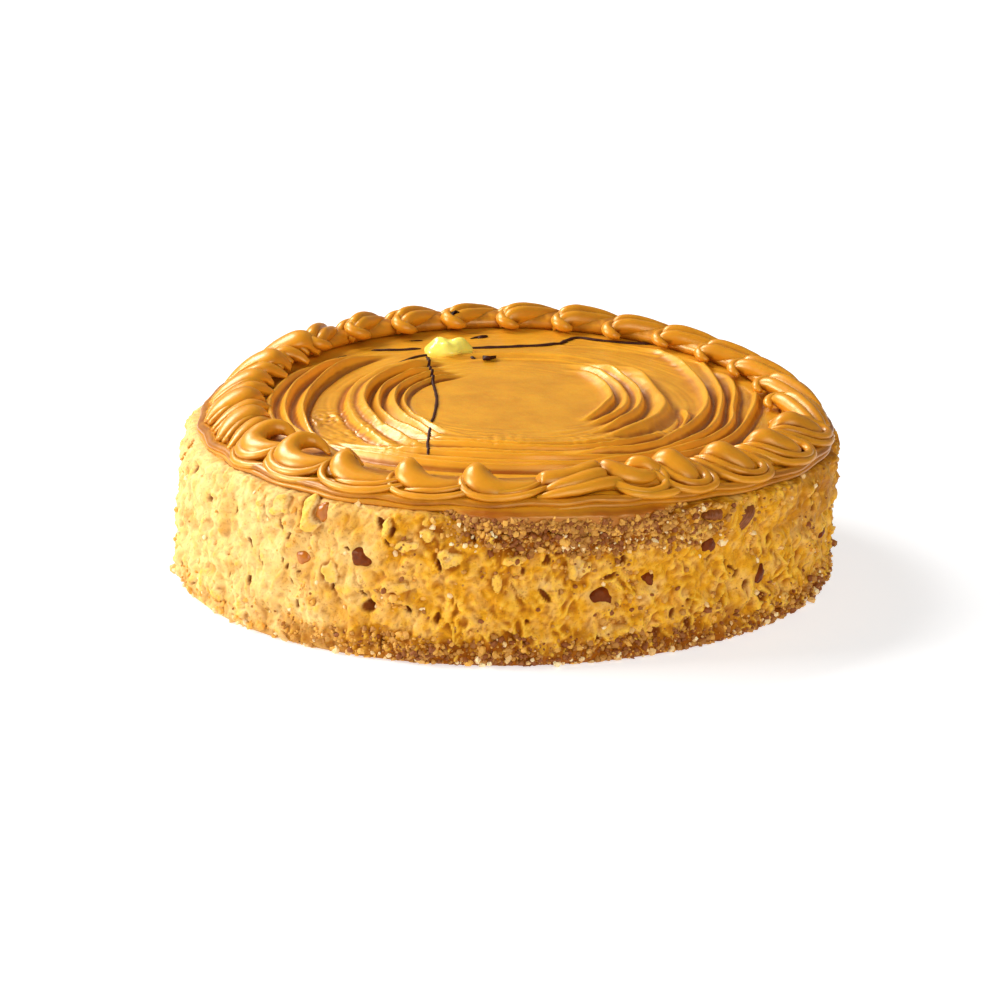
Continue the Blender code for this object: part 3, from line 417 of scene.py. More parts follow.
# The cream share is raised on the left because the coat is creamier there, and also as painted light: that
# side is painted paler where the light falls strongest.
cream = np.clip(0.06 + 0.42 * cloudy + 0.80 * on_left - 0.5 * foot_band - 0.4 * under_smear, 0.0, 1.0)
# This share browns the sponge at the foot, under the smear, on the caramel patch and in the praline band; at
# the foot it is partly painted shade, darker towards the bottom.
toasted = 1.05 * foot_band + 1.0 * under_smear + 0.50 * smooth_right + 0.45 * praline - 0.35 * cloudy
toasted = np.clip(toasted, 0.0, 1.0)
torn = 0.55 + 0.45 * (1.0 - smooth_step(*TORN_HEIGHTS, side_z))
torn = torn * (1.0 - 0.75 * on_left) * (1.0 - 0.75 * smooth_right)

# Torn ribbons: the crests of a noise that is drawn out down the side, at two slants
RIBBON_RISE = 2.0
RIBBON_SHARPNESS = 3.6
STREAK_RISE = 0.8
WARP_DEPTH = 2.6
WARP_SIZE = 5.5
CALM_PATCH_SIZE = 11.0
GRAIN_SIZE = 1.6
GRAIN_RISE = 0.16
CRUMBLY_GRAIN_RISE = 0.62
BILLOW_SIZE = 3.4
BILLOW_RISE = 1.1
COAT_SINK = 1.2
POCKET_DEPTH = 0.5
PIT_DEPTH = 1.9
SHOULDER_RELIEF = 0.6
warp = WARP_DEPTH * coat_noise(WARP_SIZE, 23.0)


def ribbons(slant, squash, size, shift):
    """Crests from 0 to 1, slanting by so much for each millimetre of height and drawn out by the squash."""
    turned = side_a + (slant * side_z + warp) / CAKE_RADIUS
    field = noise_at(polar(CAKE_RADIUS, turned, squash * side_z + warp), size, shift).reshape(side_z.shape)
    return np.clip(1.0 - RIBBON_SHARPNESS * np.abs(field), 0.0, 1.0)


slanting = np.maximum(ribbons(0.55, 0.42, 5.6, 3.0), 0.8 * ribbons(-0.35, 0.6, 4.0, 61.0))
slanting *= 0.45 + 0.55 * smooth_step(-0.25, 0.3, coat_noise(CALM_PATCH_SIZE, 83.0))
streaks = ribbons(0.1, 0.22, 4.4, 17.0) * on_left
grain = (GRAIN_RISE + CRUMBLY_GRAIN_RISE * crumbly) * coat_noise(GRAIN_SIZE, 5.0)
billows = np.abs(coat_noise(BILLOW_SIZE, 12.0))
relief = (RIBBON_RISE * slanting * torn + STREAK_RISE * streaks + lump + grain
          + BILLOW_RISE * billows - COAT_SINK)
relief = relief * (1.0 - pocket) - POCKET_DEPTH * pocket - PIT_DEPTH * pit * (1.0 - pocket)
relief *= smooth_step(0.0, FOOT_HEIGHT, side_z)
cream = np.clip(cream + 0.35 * lump, 0.0, 1.0)


def blurred(field, rows, columns):
    """The field averaged over so many rows and columns each way; columns run round the cake."""
    total = sum(np.roll(field, k, axis=1) for k in range(-columns, columns + 1)) / (2 * columns + 1)
    padded = np.pad(total, ((rows, rows), (0, 0)), mode="edge")
    return sum(padded[k:k + len(field)] for k in range(2 * rows + 1)) / (2 * rows + 1)


# Painted shade and light: the coat is painted darker where the relief round a point stands over it and paler
# on its crests, less so on the left, and a little darker where it is browned.
hollow = 0.5 + 0.62 * (1.0 - 0.45 * on_left) * (blurred(relief, 3, 4) - relief) + 0.12 * toasted
hollow = np.clip(hollow, 0.0, 1.0)
lean = np.zeros(side_z.shape)
lean[SIDE_ROWS:] = np.broadcast_to(turn, side_z[SIDE_ROWS:].shape)
side_r = side_r + relief * np.cos(lean)
side_z = side_z + relief * np.sin(lean) * SHOULDER_RELIEF
side_points = polar(side_r, side_a, side_z)
# The coat runs on under the icing and its border, so that no gap shows
LID_RADIUS = 112.0
LID_RISE = 1.2
lid = polar(LID_RADIUS, side_angles, lip_curve(side_angles) + LID_RISE)

# Crumb coat: dry sponge and cream, matt, golden where sponge shows and pale where cream does. Its colour
# also holds painted shade in hollows, in pits and at the foot, and painted light on crests and on the left.
GOLDEN_SPONGE = "#E09C18"
PALE_CREAM = "#F4CE84"
# Painted light on the crests
PAINTED_CREST_LIGHT = "#F8C244"
# Baked crust brown, for specks and browned places, and at the foot also painted shade
BAKED_CRUST_AND_SHADE = "#9A5208"
# The next two are painted shade: in the hollows, and in the pits.
PAINTED_HOLLOW_SHADE = "#9C5406"
PAINTED_PIT_SHADE = "#763608"
WARM_SHINE = "#FFE2B0"
GRAIN_MM = 0.9
CLOUD_MM = 5.0
crumb_coat, tree, shader, coordinates = new_material("sponge_crumb_coat", {
    "Roughness": 0.62, "Specular IOR Level": 0.2, "Specular Tint": linear(WARM_SHINE),
    "Subsurface Weight": 0.15, "Subsurface Radius": (0.003, 0.0014, 0.0005), "Subsurface Scale": 1.0})
cream_share, brown_and_shade_share, hollow_share, pit_share = (
    node(tree, "ShaderNodeAttribute", {}, attribute_name=key).outputs["Fac"]
    for key in ("cream", "toasted", "hollow", "pit"))
cloud = node(tree, "ShaderNodeTexNoise", {"Vector": coordinates, "Scale": 1000.0 / CLOUD_MM, "Detail": 3.0})
fine = node(tree, "ShaderNodeTexNoise", {"Vector": coordinates, "Scale": 1000.0 / GRAIN_MM, "Detail": 2.0})
clouded = node(tree, "ShaderNodeMapRange", {
    "Value": cloud.outputs["Fac"], "From Min": 0.35, "From Max": 0.65, "To Min": -0.22, "To Max": 0.22})
creamy = node(tree, "ShaderNodeMath", {
    0: cream_share, 1: clouded.outputs["Result"]}, operation="ADD", use_clamp=True)
crest = node(tree, "ShaderNodeMapRange", {
    "Value": hollow_share, "From Min": 0.46, "From Max": 0.1, "To Min": 0.0, "To Max": 0.75})
deep = node(tree, "ShaderNodeMapRange", {
    "Value": hollow_share, "From Min": 0.5, "From Max": 0.95, "To Min": 0.0, "To Max": 0.9})
speck = node(tree, "ShaderNodeMapRange", {
    "Value": fine.outputs["Fac"], "From Min": 0.56, "From Max": 0.72, "To Min": 0.0, "To Max": 0.45})
# Each colour is laid over what is there by its own share; the crest colour is painted light, and the hollow
# and pit colours are painted shade.
colour = linear(GOLDEN_SPONGE)
for share, over in (
        (creamy.outputs["Value"], PALE_CREAM), (brown_and_shade_share, BAKED_CRUST_AND_SHADE),
        (crest.outputs["Result"], PAINTED_CREST_LIGHT), (deep.outputs["Result"], PAINTED_HOLLOW_SHADE),
        (speck.outputs["Result"], BAKED_CRUST_AND_SHADE), (pit_share, PAINTED_PIT_SHADE)):
    laid = node(tree, "ShaderNodeMix", {"Factor": share, 6: colour, 7: linear(over)}, data_type="RGBA")
    colour = laid.outputs[2]
roughened = node(tree, "ShaderNodeBump", {"Height": fine.outputs["Fac"], "Strength": 0.5, "Distance": 0.0006})
tree.links.new(colour, shader.inputs["Base Color"])
tree.links.new(roughened.outputs["Normal"], shader.inputs["Normal"])

underside = np.array([[0.0, 0.0, 0.0]])
side_and_lid = np.vstack([side_points, lid])
bottom_faces = [[len(side_and_lid), (i + 1) % SIDE_COLUMNS, i] for i in range(SIDE_COLUMNS)]
beyond = np.zeros(SIDE_COLUMNS + 1)
# The hollow and pit attributes carry painted shade and light into the coat's colour.
crumb_side = add_piece(
    "crumb_coated_side", settled(np.vstack([side_and_lid, underside])),
    ring_faces(SIDE_ROWS + SHOULDER_ROWS + 1, SIDE_COLUMNS) + bottom_faces, crumb_coat,
    cream=np.append(cream, beyond), toasted=np.append(toasted, beyond), hollow=np.append(hollow, beyond),
    pit=np.append(pit * (1.0 - pocket), beyond))
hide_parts("cake_body")


# Loose crumbs in the coat
# Broken sponge and roasted nut, pressed into the cream: many at the foot and under the smear of icing.
CRUMBS = 6500
CRUMB_SEED = 21
CRUMB_STRETCH = (0.6, 1.3)
CRUMB_ROUGHNESS = 0.25
LOWEST_CRUMB = 0.05
# Rows of the coat's shoulder on which crumbs still lie
SHOULDER_CRUMB_ROWS = 4
GOLDEN_RATIO = (1.0 + math.sqrt(5.0)) / 2.0


def lump_template():
    """The corners and faces of a twenty-sided lump of radius 1."""
    g = GOLDEN_RATIO
    corners = [(a, b * g, 0.0) for a in (-1, 1) for b in (-1, 1)]
    corners += [(0.0, a, b * g) for a in (-1, 1) for b in (-1, 1)]
    corners += [(b * g, 0.0, a) for a in (-1, 1) for b in (-1, 1)]
    corners = np.array(corners, float)
    corners /= np.linalg.norm(corners[0])
    edge = 2.0 / math.sqrt(1.0 + g * g) * 1.05
    near = np.linalg.norm(corners[:, None] - corners[None], axis=2) < edge
    faces = []
    for a in range(12):
        for b in range(a + 1, 12):
            for c in range(b + 1, 12):
                if near[a, b] and near[b, c] and near[a, c]:
                    across = np.cross(corners[b] - corners[a], corners[c] - corners[a])
                    outward = np.dot(across, corners[a]) > 0.0
                    faces.append((a, b, c) if outward else (a, c, b))
    return corners, np.array(faces)


def lumps(rng, middles, sizes, stretch, roughness):
    """Many irregular lumps: their points, their faces and which lump each point belongs to."""
    corners, faces = lump_template()
    count = len(middles)
    shapes = corners[None] * (1.0 + roughness * rng.uniform(-1.0, 1.0, (count, 12, 1)))
    shapes = shapes * rng.uniform(stretch[0], stretch[1], (count, 1, 3))
    turns, _ = np.linalg.qr(rng.normal(size=(count, 3, 3)))
    shapes = np.einsum("nij,nkj->nki", turns, shapes)
    points = middles[:, None] + shapes * sizes[:, None, None]
    flipped = np.linalg.det(turns) < 0.0
    all_faces = faces[None] + 12 * np.arange(count)[:, None, None]
    all_faces[flipped] = all_faces[flipped][:, :, ::-1]
    return points.reshape(-1, 3), all_faces.reshape(-1, 3).tolist(), np.repeat(np.arange(count), 12)


def drawn_places(rng, count, likely):
    """The numbers of so many points of a surface, drawn by a likelihood for each point of it."""
    share = np.cumsum(np.ravel(likely))
    return np.searchsorted(share, rng.uniform(0.0, share[-1], count))


rng = np.random.default_rng(CRUMB_SEED)
likely = 0.02 - 0.015 * on_left + 0.6 * crumbly + 0.8 * foot_band + 0.9 * under_smear + praline
likely = likely * (1.0 - pocket)
likely[SIDE_ROWS + SHOULDER_CRUMB_ROWS:] = 0.0
chosen = drawn_places(rng, CRUMBS, likely)
sizes = 0.42 + 1.1 * rng.uniform(0.0, 1.0, CRUMBS) ** 3
middles = side_points[chosen] + polar(0.1 * sizes, np.ravel(side_a)[chosen], 0.0)
points, faces, owner = lumps(rng, middles, sizes, CRUMB_STRETCH, CRUMB_ROUGHNESS)
points[:, 2] = np.maximum(points[:, 2], LOWEST_CRUMB)


def toned_material(name, pale, brown, finish):
    """A material for many small bits, each with its own tone between two colours."""
    material, tree, shader, _ = new_material(name, finish)
    tone = node(tree, "ShaderNodeAttribute", {}, attribute_name="tone").outputs["Fac"]
    colour = node(tree, "ShaderNodeMix", {
        "Factor": tone, 6: linear(pale), 7: linear(brown)}, data_type="RGBA")
    tree.links.new(colour.outputs[2], shader.inputs["Base Color"])
    return material


# Toasted crumbs: dry and matt, from pale gold to baked brown, each its own shade.
toasted_crumb = toned_material("toasted_sponge_crumb", "#E9AC44", "#8A4806", {"Roughness": 0.65})
# Crumbs are browner at the foot, partly as painted shade, and browner under the smear; they are paler on the
# left as painted light.
browner = np.ravel(0.38 * foot_band + 0.28 * under_smear - 0.5 * on_left)[chosen]
brownness = np.clip(0.45 + browner + rng.normal(0.0, 0.38, CRUMBS), 0.0, 1.0)
crumb_piece = add_piece("toasted_crumbs", settled(points), faces, toasted_crumb, smooth=False,
                        tone=brownness[owner])


# Nut nibs
# Chopped blanched nut: pale angular bits, in a row along the foot and scattered under the smear.
FOOT_NIBS = 330
SMEAR_NIBS = 260
NIB_SEED = 33
NIB_STRETCH = (0.55, 1.15)
NIB_ROUGHNESS = 0.3
SMEAR_NIB_SCALE = 0.65
FOOT_ROW_HEIGHT = 3.5
# The row along the foot has gaps of about this size
NIB_GAP_SIZE = 6.0
rng = np.random.default_rng(NIB_SEED)
in_foot_row = (side_z < FOOT_ROW_HEIGHT) & (coat_noise(NIB_GAP_SIZE, 50.0) > -0.25)
foot_likely = np.where(in_foot_row, 1.0, 0.02)
smear_likely = (praline + under_smear + 0.25 * crumbly) * (1.0 - pocket)
smear_likely[SIDE_ROWS + SHOULDER_CRUMB_ROWS:] = 0.0
at_foot = drawn_places(rng, FOOT_NIBS, foot_likely)
chosen = np.concatenate([at_foot, drawn_places(rng, SMEAR_NIBS, smear_likely)])
sizes = 0.75 + 1.15 * rng.uniform(0.0, 1.0, len(chosen)) ** 1.6
sizes[FOOT_NIBS:] *= SMEAR_NIB_SCALE
middles = side_points[chosen] + polar(0.2 * sizes, np.ravel(side_a)[chosen], 0.0)
points, faces, owner = lumps(rng, middles, sizes, NIB_STRETCH, NIB_ROUGHNESS)
points[:, 2] = np.maximum(points[:, 2], LOWEST_CRUMB)

# Blanched nut: cream white, faintly oily, so its cut faces take a soft light.
blanched_nut = toned_material("blanched_nut", "#FCE6B0", "#DFA548", {
    "Roughness": 0.45, "Subsurface Weight": 0.2, "Subsurface Radius": (0.002, 0.0014, 0.0008)})
nib_piece = add_piece("nut_nibs", settled(points), faces, blanched_nut, smooth=False,
                      tone=rng.uniform(0.0, 1.0, len(chosen))[owner])


# Raisins, pecans and candied peel
# Whole or cut pieces set flush in the coat. Raisins are wrinkled and dark, pecans ridged along their
# length, and peel is a glazed orange-brown dice.
FRUIT_RINGS = 26
FRUIT_SIDES = 56
FRUIT_DEPTH_SHARE = 0.9
PROUD_SHARE = 0.22
FOLD_SIZE = 0.85


def mottled_material(name, size, detail, dark, light, finish):
    """A material in patches of two colours, of so many millimetres, and its tree, shader and patches."""
    material, tree, shader, coordinates = new_material(name, finish)
    pattern = {"Vector": coordinates, "Scale": 1000.0 / size, "Detail": detail}
    patches = node(tree, "ShaderNodeTexNoise", pattern).outputs["Fac"]
    colour = node(tree, "ShaderNodeMix", {
        "Factor": patches, 6: linear(dark), 7: linear(light)}, data_type="RGBA")
    tree.links.new(colour.outputs[2], shader.inputs["Base Color"])
    return material, tree, shader, patches


# Raisin skin: thin, dark red-brown and sugary, with a satin shine on its folds.
WRINKLE_SIZE = 2.2
raisin_skin, tree, shader, wrinkles = mottled_material(
    "raisin_skin", WRINKLE_SIZE, 4.0, "#3C1004", "#86380A", {
        "Roughness": 0.38, "Specular IOR Level": 0.2, "Specular Tint": linear(WARM_SHINE)})
wrinkled = node(tree, "ShaderNodeBump", {"Height": wrinkles, "Strength": 0.5, "Distance": 0.0008})
tree.links.new(wrinkled.outputs["Normal"], shader.inputs["Normal"])

# Pecan skin: dry, brown and finely streaked.
PECAN_STREAK_SIZE = 1.5
pecan_skin = mottled_material("pecan_skin", PECAN_STREAK_SIZE, 3.0, "#5A2408", "#A05A20", {
    "Roughness": 0.45, "Specular IOR Level": 0.3})[0]

# Candied peel: soaked in syrup, clear orange-brown and glossy.
SYRUP_CLOUD_SIZE = 3.0
candied_peel = mottled_material("candied_peel", SYRUP_CLOUD_SIZE, 2.0, "#9A4C0A", "#D0801E", {
    "Roughness": 0.25, "Subsurface Weight": 0.3, "Subsurface Radius": (0.003, 0.0012, 0.0004)})[0]

FRUIT_FINISH = {"raisin": raisin_skin, "pecan": pecan_skin, "candied_peel": candied_peel}


def fruit_shape(kind, u, v, w, seed):
    """How far a point of a piece lies from its middle, as a share of its plain rounded form."""
    places = np.stack([u, v, w], axis=-1).reshape(-1, 3) + seed
    folds = noise_at(places, FOLD_SIZE).reshape(u.shape)
    if kind == "pecan":
        return 1.0 + 0.10 * np.cos(13.0 * u) * (1.0 - 0.6 * np.abs(v)) + 0.06 * folds
    if kind == "raisin":
        return 1.0 - 0.22 * np.abs(folds) + 0.05 * np.sin(4.0 * u + 3.0 * v + seed)
    return 1.0 + 0.08 * folds


for seed, (name, angle, height, width, tall, depth, tilt) in enumerate(FRUIT_AND_NUTS):
    kind = name.rsplit("_", 1)[0]
    a = math.radians(angle)
    out = np.array((math.cos(a), math.sin(a), 0.0))
    sideways = np.array((-math.sin(a), math.cos(a), 0.0))
    radius = side_radius(np.array([[a]]), np.array([[height]]))[0, 0] - depth * (0.5 - PROUD_SHARE)
    ring = np.linspace(0.0, math.pi, FRUIT_RINGS)[:, None]
    turn = np.linspace(0.0, math.tau, FRUIT_SIDES, endpoint=False)[None, :]
    squarish = 1.0 + 0.10 * np.sin(3.0 * turn + angle) + 0.05 * np.sin(5.0 * turn + height)
    u, v = np.sin(ring) * squarish * np.cos(turn), np.sin(ring) * squarish * np.sin(turn)
    w = -np.cos(ring) * np.ones_like(turn) * FRUIT_DEPTH_SHARE
    share = fruit_shape(kind, u, v, w, seed)
    wide, high, deep = u * share * width / 2.0, v * share * tall / 2.0, w * share * depth / 2.0
    c, s = math.cos(math.radians(tilt)), math.sin(math.radians(tilt))
    across, up = c * wide - s * high, s * wide + c * high
    points = (out * radius + (0.0, 0.0, height) + across[..., None] * sideways + deep[..., None] * out)
    points[..., 2] += up
    piece = add_piece(name + "_flesh", settled(points.reshape(-1, 3)),
                      ring_faces(FRUIT_RINGS, FRUIT_SIDES), FRUIT_FINISH[kind])
    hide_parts(name)


# Combed coffee icing
# Soft coffee buttercream spread on the top with a palette knife while the cake turned: a smooth oval in
# the middle, ridges that the blade left round it, and a thin skirt smeared over the rim at the front.
ICING_COLUMNS = 600
ICING_RADIUS = 118.2
EDGE_START = 104.0
EDGE_DROP = 3.6
SMEAR_BULGE = 5.4
SMEAR_STANDOFF = 0.7
SMEAR_RAGGED = 2.0
SKIRT_ROWS = 12
SKIRT_WAVE = 0.55
SKIRT_TUCK = 2.5
CREST_SHARPNESS = 1.6
GROOVE_SHARE = 0.34
STROKE_DEPTH = 1.25
STROKE_FADE = 12.0
STROKE_WANDER = 0.4
STROKE_UNEVEN = 0.2

# Each knife stroke: height, width of its steep inner side, width of its gentle outer side, then the
# ridge's angle in degrees and radius from where it starts to where it ends
STROKES = (
    (1.6, 0.9, 1.6, ((128, 38.0), (150, 40.5), (180, 41.5), (205, 43.5), (225, 46.5), (240, 50.0))),
    (2.4, 1.0, 2.2, ((130, 43.0), (150, 45.0), (180, 45.5), (205, 47.5), (222, 51.0), (240, 56.5))),
    (2.4, 1.0, 2.2, ((130, 50.0), (150, 51.5), (180, 51.5), (205, 54.0), (225, 57.5), (243, 63.0))),
    (3.4, 1.3, 3.8, ((125, 56.5), (145, 56.0), (180, 56.8), (200, 59.0), (220, 64.0), (240, 70.5))),
    (2.0, 6.0, 1.4, ((120, 61.5), (150, 63.0), (180, 62.8), (200, 65.0), (218, 70.0), (235, 77.0))),
    (3.4, 1.2, 2.4, ((136, 80.0), (150, 79.0), (165, 78.0), (180, 79.0), (195, 82.0), (210, 86.0))),
    (2.8, 1.6, 2.0, ((140, 87.5), (160, 86.5), (180, 86.5), (205, 90.0), (225, 93.0))),
    (2.2, 1.5, 2.0, ((150, 92.5), (180, 92.5), (210, 94.0))),
    (2.4, 2.4, 1.3, ((322, 35.5), (345, 35.0), (360, 36.3), (380, 37.5), (400, 41.0), (416, 46.0))),
    (2.0, 2.6, 1.4, ((318, 41.5), (340, 42.0), (360, 42.0), (380, 43.5), (400, 47.0), (420, 53.5))),
    (2.7, 2.8, 1.6, ((312, 50.0), (335, 47.5), (360, 47.5), (385, 49.0), (403, 53.0), (416, 58.5))),
    (2.6, 3.6, 2.4, ((308, 58.0), (330, 56.8), (352, 56.5), (370, 55.0), (390, 58.0), (406, 63.5))),
    (2.6, 1.2, 1.6, ((330, 69.5), (342, 67.0), (353, 63.5))),
    (2.8, 2.2, 1.5, ((285, 73.5), (308, 76.5), (324, 72.5), (342, 71.0), (360, 72.5),
                     (375, 74.8), (390, 79.5), (402, 86.0), (412, 93.0))),
    (2.4, 1.8, 1.4, ((300, 81.0), (324, 79.5), (342, 78.0), (360, 77.5), (378, 82.0),
                     (392, 89.0), (400, 96.0))),
    (2.8, 1.6, 1.4, ((288, 84.5), (320, 84.0), (345, 83.0), (360, 82.0), (375, 87.0), (388, 94.0))),
    (2.4, 1.6, 1.4, ((300, 90.5), (330, 88.5), (352, 88.0), (366, 91.5), (376, 96.0))),
    (1.2, 2.5, 0.9, ((238, 60.0), (255, 58.5), (272, 59.5), (290, 60.5), (310, 62.0))),
    (1.8, 2.0, 1.2, ((236, 66.5), (255, 64.5), (275, 66.0), (295, 67.5), (322, 66.0))),
    (1.5, 1.6, 1.0, ((240, 73.5), (258, 71.0), (278, 71.5), (300, 72.0))),
    (2.2, 2.0, 1.3, ((232, 80.0), (255, 77.5), (275, 78.0), (300, 78.0))),
    (1.8, 1.6, 1.1, ((225, 84.0), (250, 84.0), (275, 84.0), (296, 85.0))),
    (2.2, 1.8, 1.4, ((215, 90.0), (245, 90.5), (275, 90.0), (300, 91.0))),
    (0.9, 1.6, 1.6, ((60, 66.0), (80, 62.5), (100, 62.0), (118, 63.5))),
    (0.8, 1.4, 1.4, ((62, 57.5), (85, 55.0), (105, 55.5))),
    (0.7, 1.5, 1.2, ((46, 90.0), (62, 84.0), (74, 79.0))),
)

icing_angles = np.arange(ICING_COLUMNS) * math.tau / ICING_COLUMNS
# Rings from the rim inwards: few under the border, close ones where the icing is combed, few in the middle
ring_radii = np.concatenate([
    (ICING_RADIUS, 117.0, 114.0, 110.0, 106.0, 102.0, 99.0, 97.1), np.linspace(95.0, 30.0, 120),
    np.linspace(28.0, 2.0, 12)])
icing_r = np.broadcast_to(ring_radii[:, None], (len(ring_radii), ICING_COLUMNS))
icing_a = np.broadcast_to(icing_angles, icing_r.shape)
icing_x, icing_y = icing_r * np.cos(icing_a), icing_r * np.sin(icing_a)
icing_flat = polar(icing_r, icing_a, 0.0)


def icing_noise(places, size, shift):
    """Noise over the icing's top, one number for each of its points."""
    return noise_at(places, size, shift).reshape(icing_r.shape)


def curve_through(path, count):
    """So many places, evenly shared out, on a smooth curve through the rows of a table."""
    path = np.array(path, float)
    ends = np.vstack([2.0 * path[0] - path[1], path, 2.0 * path[-1] - path[-2]])
    run = np.linspace(0.0, len(path) - 1.0, count)
    index = np.minimum(run.astype(int), len(path) - 2)
    t = (run - index)[:, None]
    a, b, c, d = (ends[index + k] for k in range(4))
    return b + 0.5 * t * (c - a + t * (2.0 * a - 5.0 * b + 4.0 * c - d + t * (3.0 * (b - c) + d - a)))


def stroke_relief(height, inner, outer, path, number):
    """The ridge that one knife stroke leaves on the icing's top, and the groove on its steep side."""
    angles, radii = curve_through(path, 30 * len(path)).T
    degrees = np.degrees(icing_angles)
    degrees = np.where(degrees < angles[0] - STROKE_FADE, degrees + 360.0, degrees)
    fade = smooth_step(angles[0] - STROKE_FADE, angles[0] + STROKE_FADE, degrees)
    fade = fade * (1.0 - smooth_step(angles[-1] - STROKE_FADE, angles[-1] + STROKE_FADE, degrees))
    wander = noise_at(polar(60.0, icing_angles, 17.0 * number), 18.0)
    uneven = noise_at(polar(60.0, icing_angles, 17.0 * number + 8.0), 12.0)
    off = icing_r - (np.interp(degrees, angles, radii) + STROKE_WANDER * wander)[None, :]
    steep = min(inner, outer)
    past = (off + 2.0 * steep) if inner < outer else (off - 2.0 * steep)
    ridge = np.exp(-np.abs(off / np.where(off < 0.0, inner, outer)) ** CREST_SHARPNESS)
    share = STROKE_DEPTH * height * (1.0 + STROKE_UNEVEN * uneven) * fade
    return share * ridge, -GROOVE_SHARE * share * np.exp(-(past / steep) ** 2)


ridges = np.zeros(icing_r.shape)
grooves = np.zeros(icing_r.shape)
for number, (height, inner, outer, path) in enumerate(STROKES):
    ridge, cut = stroke_relief(height, inner, outer, path, number)
    ridges = np.maximum(ridges, ridge)
    grooves = np.minimum(grooves, cut)

# Fine lines that the blade's edge leaves along its way, and rough patches where the cream tore
LINE_SPACING = 1.5
LINE_BEND = 3.2
LINE_DEPTH = 0.14
FRONT_LINE_DEPTH = 0.16
FRONT_LINES_PLACE = (276.0, 40.0, 75.0)
SOFT_LUMP_SIZE = 22.0
SOFT_LUMP_RISE = 0.22
TORN_SIZE = 4.2
TORN_GRAIN_SIZE = 1.9
TORN_RISE = 1.6
# Each torn patch: its place, how far it reaches and how torn it is
TORN_PATCHES = ((-70.0, -22.0, 11.0, 1.0), (-58.0, -44.0, 10.0, 0.8), (-44.0, -66.0, 11.0, 0.6),
                (-6.0, -60.0, 14.0, 0.4), (30.0, -52.0, 12.0, 0.5), (56.0, -38.0, 9.0, 0.6))
combed = smooth_step(34.0, 44.0, icing_r) * (1.0 - smooth_step(96.0, 100.0, icing_r))
line_places = np.stack([
    icing_r / LINE_SPACING, np.cos(icing_a) * LINE_BEND, np.sin(icing_a) * LINE_BEND], axis=-1).reshape(-1, 3)
blade_lines = icing_noise(line_places, 1.0, 3.0)
soft_lumps = icing_noise(icing_flat, SOFT_LUMP_SIZE, 9.0)
front = share_at(icing_a, FRONT_LINES_PLACE)
torn = np.zeros(icing_r.shape)
for x, y, reach, depth in TORN_PATCHES:
    torn = np.maximum(torn, depth * np.exp(-((icing_x - x) ** 2 + (icing_y - y) ** 2) / reach ** 2))
rough = np.abs(icing_noise(icing_flat, TORN_SIZE, 60.0))
rough += 0.4 * icing_noise(icing_flat, TORN_GRAIN_SIZE, 40.0)
line_depth = LINE_DEPTH + FRONT_LINE_DEPTH * front
top_relief = (ridges + grooves + SOFT_LUMP_RISE * soft_lumps + blade_lines * combed * line_depth
              + torn * rough * TORN_RISE)
top_relief += 0.05 * icing_noise(line_places, 2.2, 8.0)
calm_rim = 1.0 - smooth_step(95.5, 99.0, icing_r)
edge = np.maximum(icing_r - EDGE_START, 0.0) / (ICING_RADIUS - EDGE_START)
icing_z = ICING_LEVEL + top_relief * calm_rim - EDGE_DROP * edge ** 3

# The skirt over the rim: down to the lip, and at the front smeared over the coat with a torn edge
drop = np.linspace(1.0, 0.0, SKIRT_ROWS, endpoint=False)[:, None]
rim_places = polar(CAKE_RADIUS, icing_angles, 0.0)
ragged = noise_at(rim_places, 3.0, 70.0) + noise_at(rim_places, 8.0, 44.0)
smeared = share_at(icing_angles, SMEAR_PLACE)
skirt_low = lip_curve(icing_angles) - SMEAR_RAGGED * smeared * ragged
skirt_top = ICING_LEVEL - EDGE_DROP
skirt_z = skirt_top + (skirt_low - skirt_top) * drop
bulge = SMEAR_BULGE * smeared * smooth_step(0.0, 0.35, drop) + SMEAR_STANDOFF * smeared
skirt_a = np.broadcast_to(icing_angles, skirt_z.shape)
skirt_wave = noise_at(polar(CAKE_RADIUS, skirt_a, skirt_z * 2.5), 7.0, 15.0).reshape(skirt_z.shape)
tuck = np.where(drop > 0.97, 1.0, 0.0)
skirt_r = ICING_RADIUS + bulge + SKIRT_WAVE * skirt_wave * smooth_step(0.0, 0.3, drop) - SKIRT_TUCK * tuck
skirt = polar(skirt_r, skirt_a, skirt_z)
top = polar(icing_r, icing_a, icing_z)
middle = np.array([[0.0, 0.0, ICING_LEVEL + 0.15]])
icing_points = np.vstack([skirt, top, middle])
icing_rows = SKIRT_ROWS + len(icing_r)
last = (icing_rows - 1) * ICING_COLUMNS
icing_faces = ring_faces(icing_rows, ICING_COLUMNS)
icing_faces += [[last + i, last + (i + 1) % ICING_COLUMNS, len(icing_points) - 1]
                for i in range(ICING_COLUMNS)]
# How deep each point lies between the ridges, 0.5 being level; it sets the painted shade in the grooves.
# The smear down the front takes the darker colour too, more so lower down.
groove = np.clip(0.5 + 0.85 * (blurred(icing_z, 3, 3) - icing_z), 0.0, 1.0)
skirt_groove = 0.5 + (0.58 + 0.15 * skirt_wave) * smeared * smooth_step(0.05, 0.35, drop)
groove = np.concatenate([np.ravel(skirt_groove), np.ravel(groove), [0.5]])


# Coffee buttercream: fat and sugar beaten smooth, satin, a little translucent, with painted shade that makes
# it darker in its grooves and creases.
CREAM_CLOUD_SIZE = 14.0
CREAM_GRAIN_SIZE = 2.5


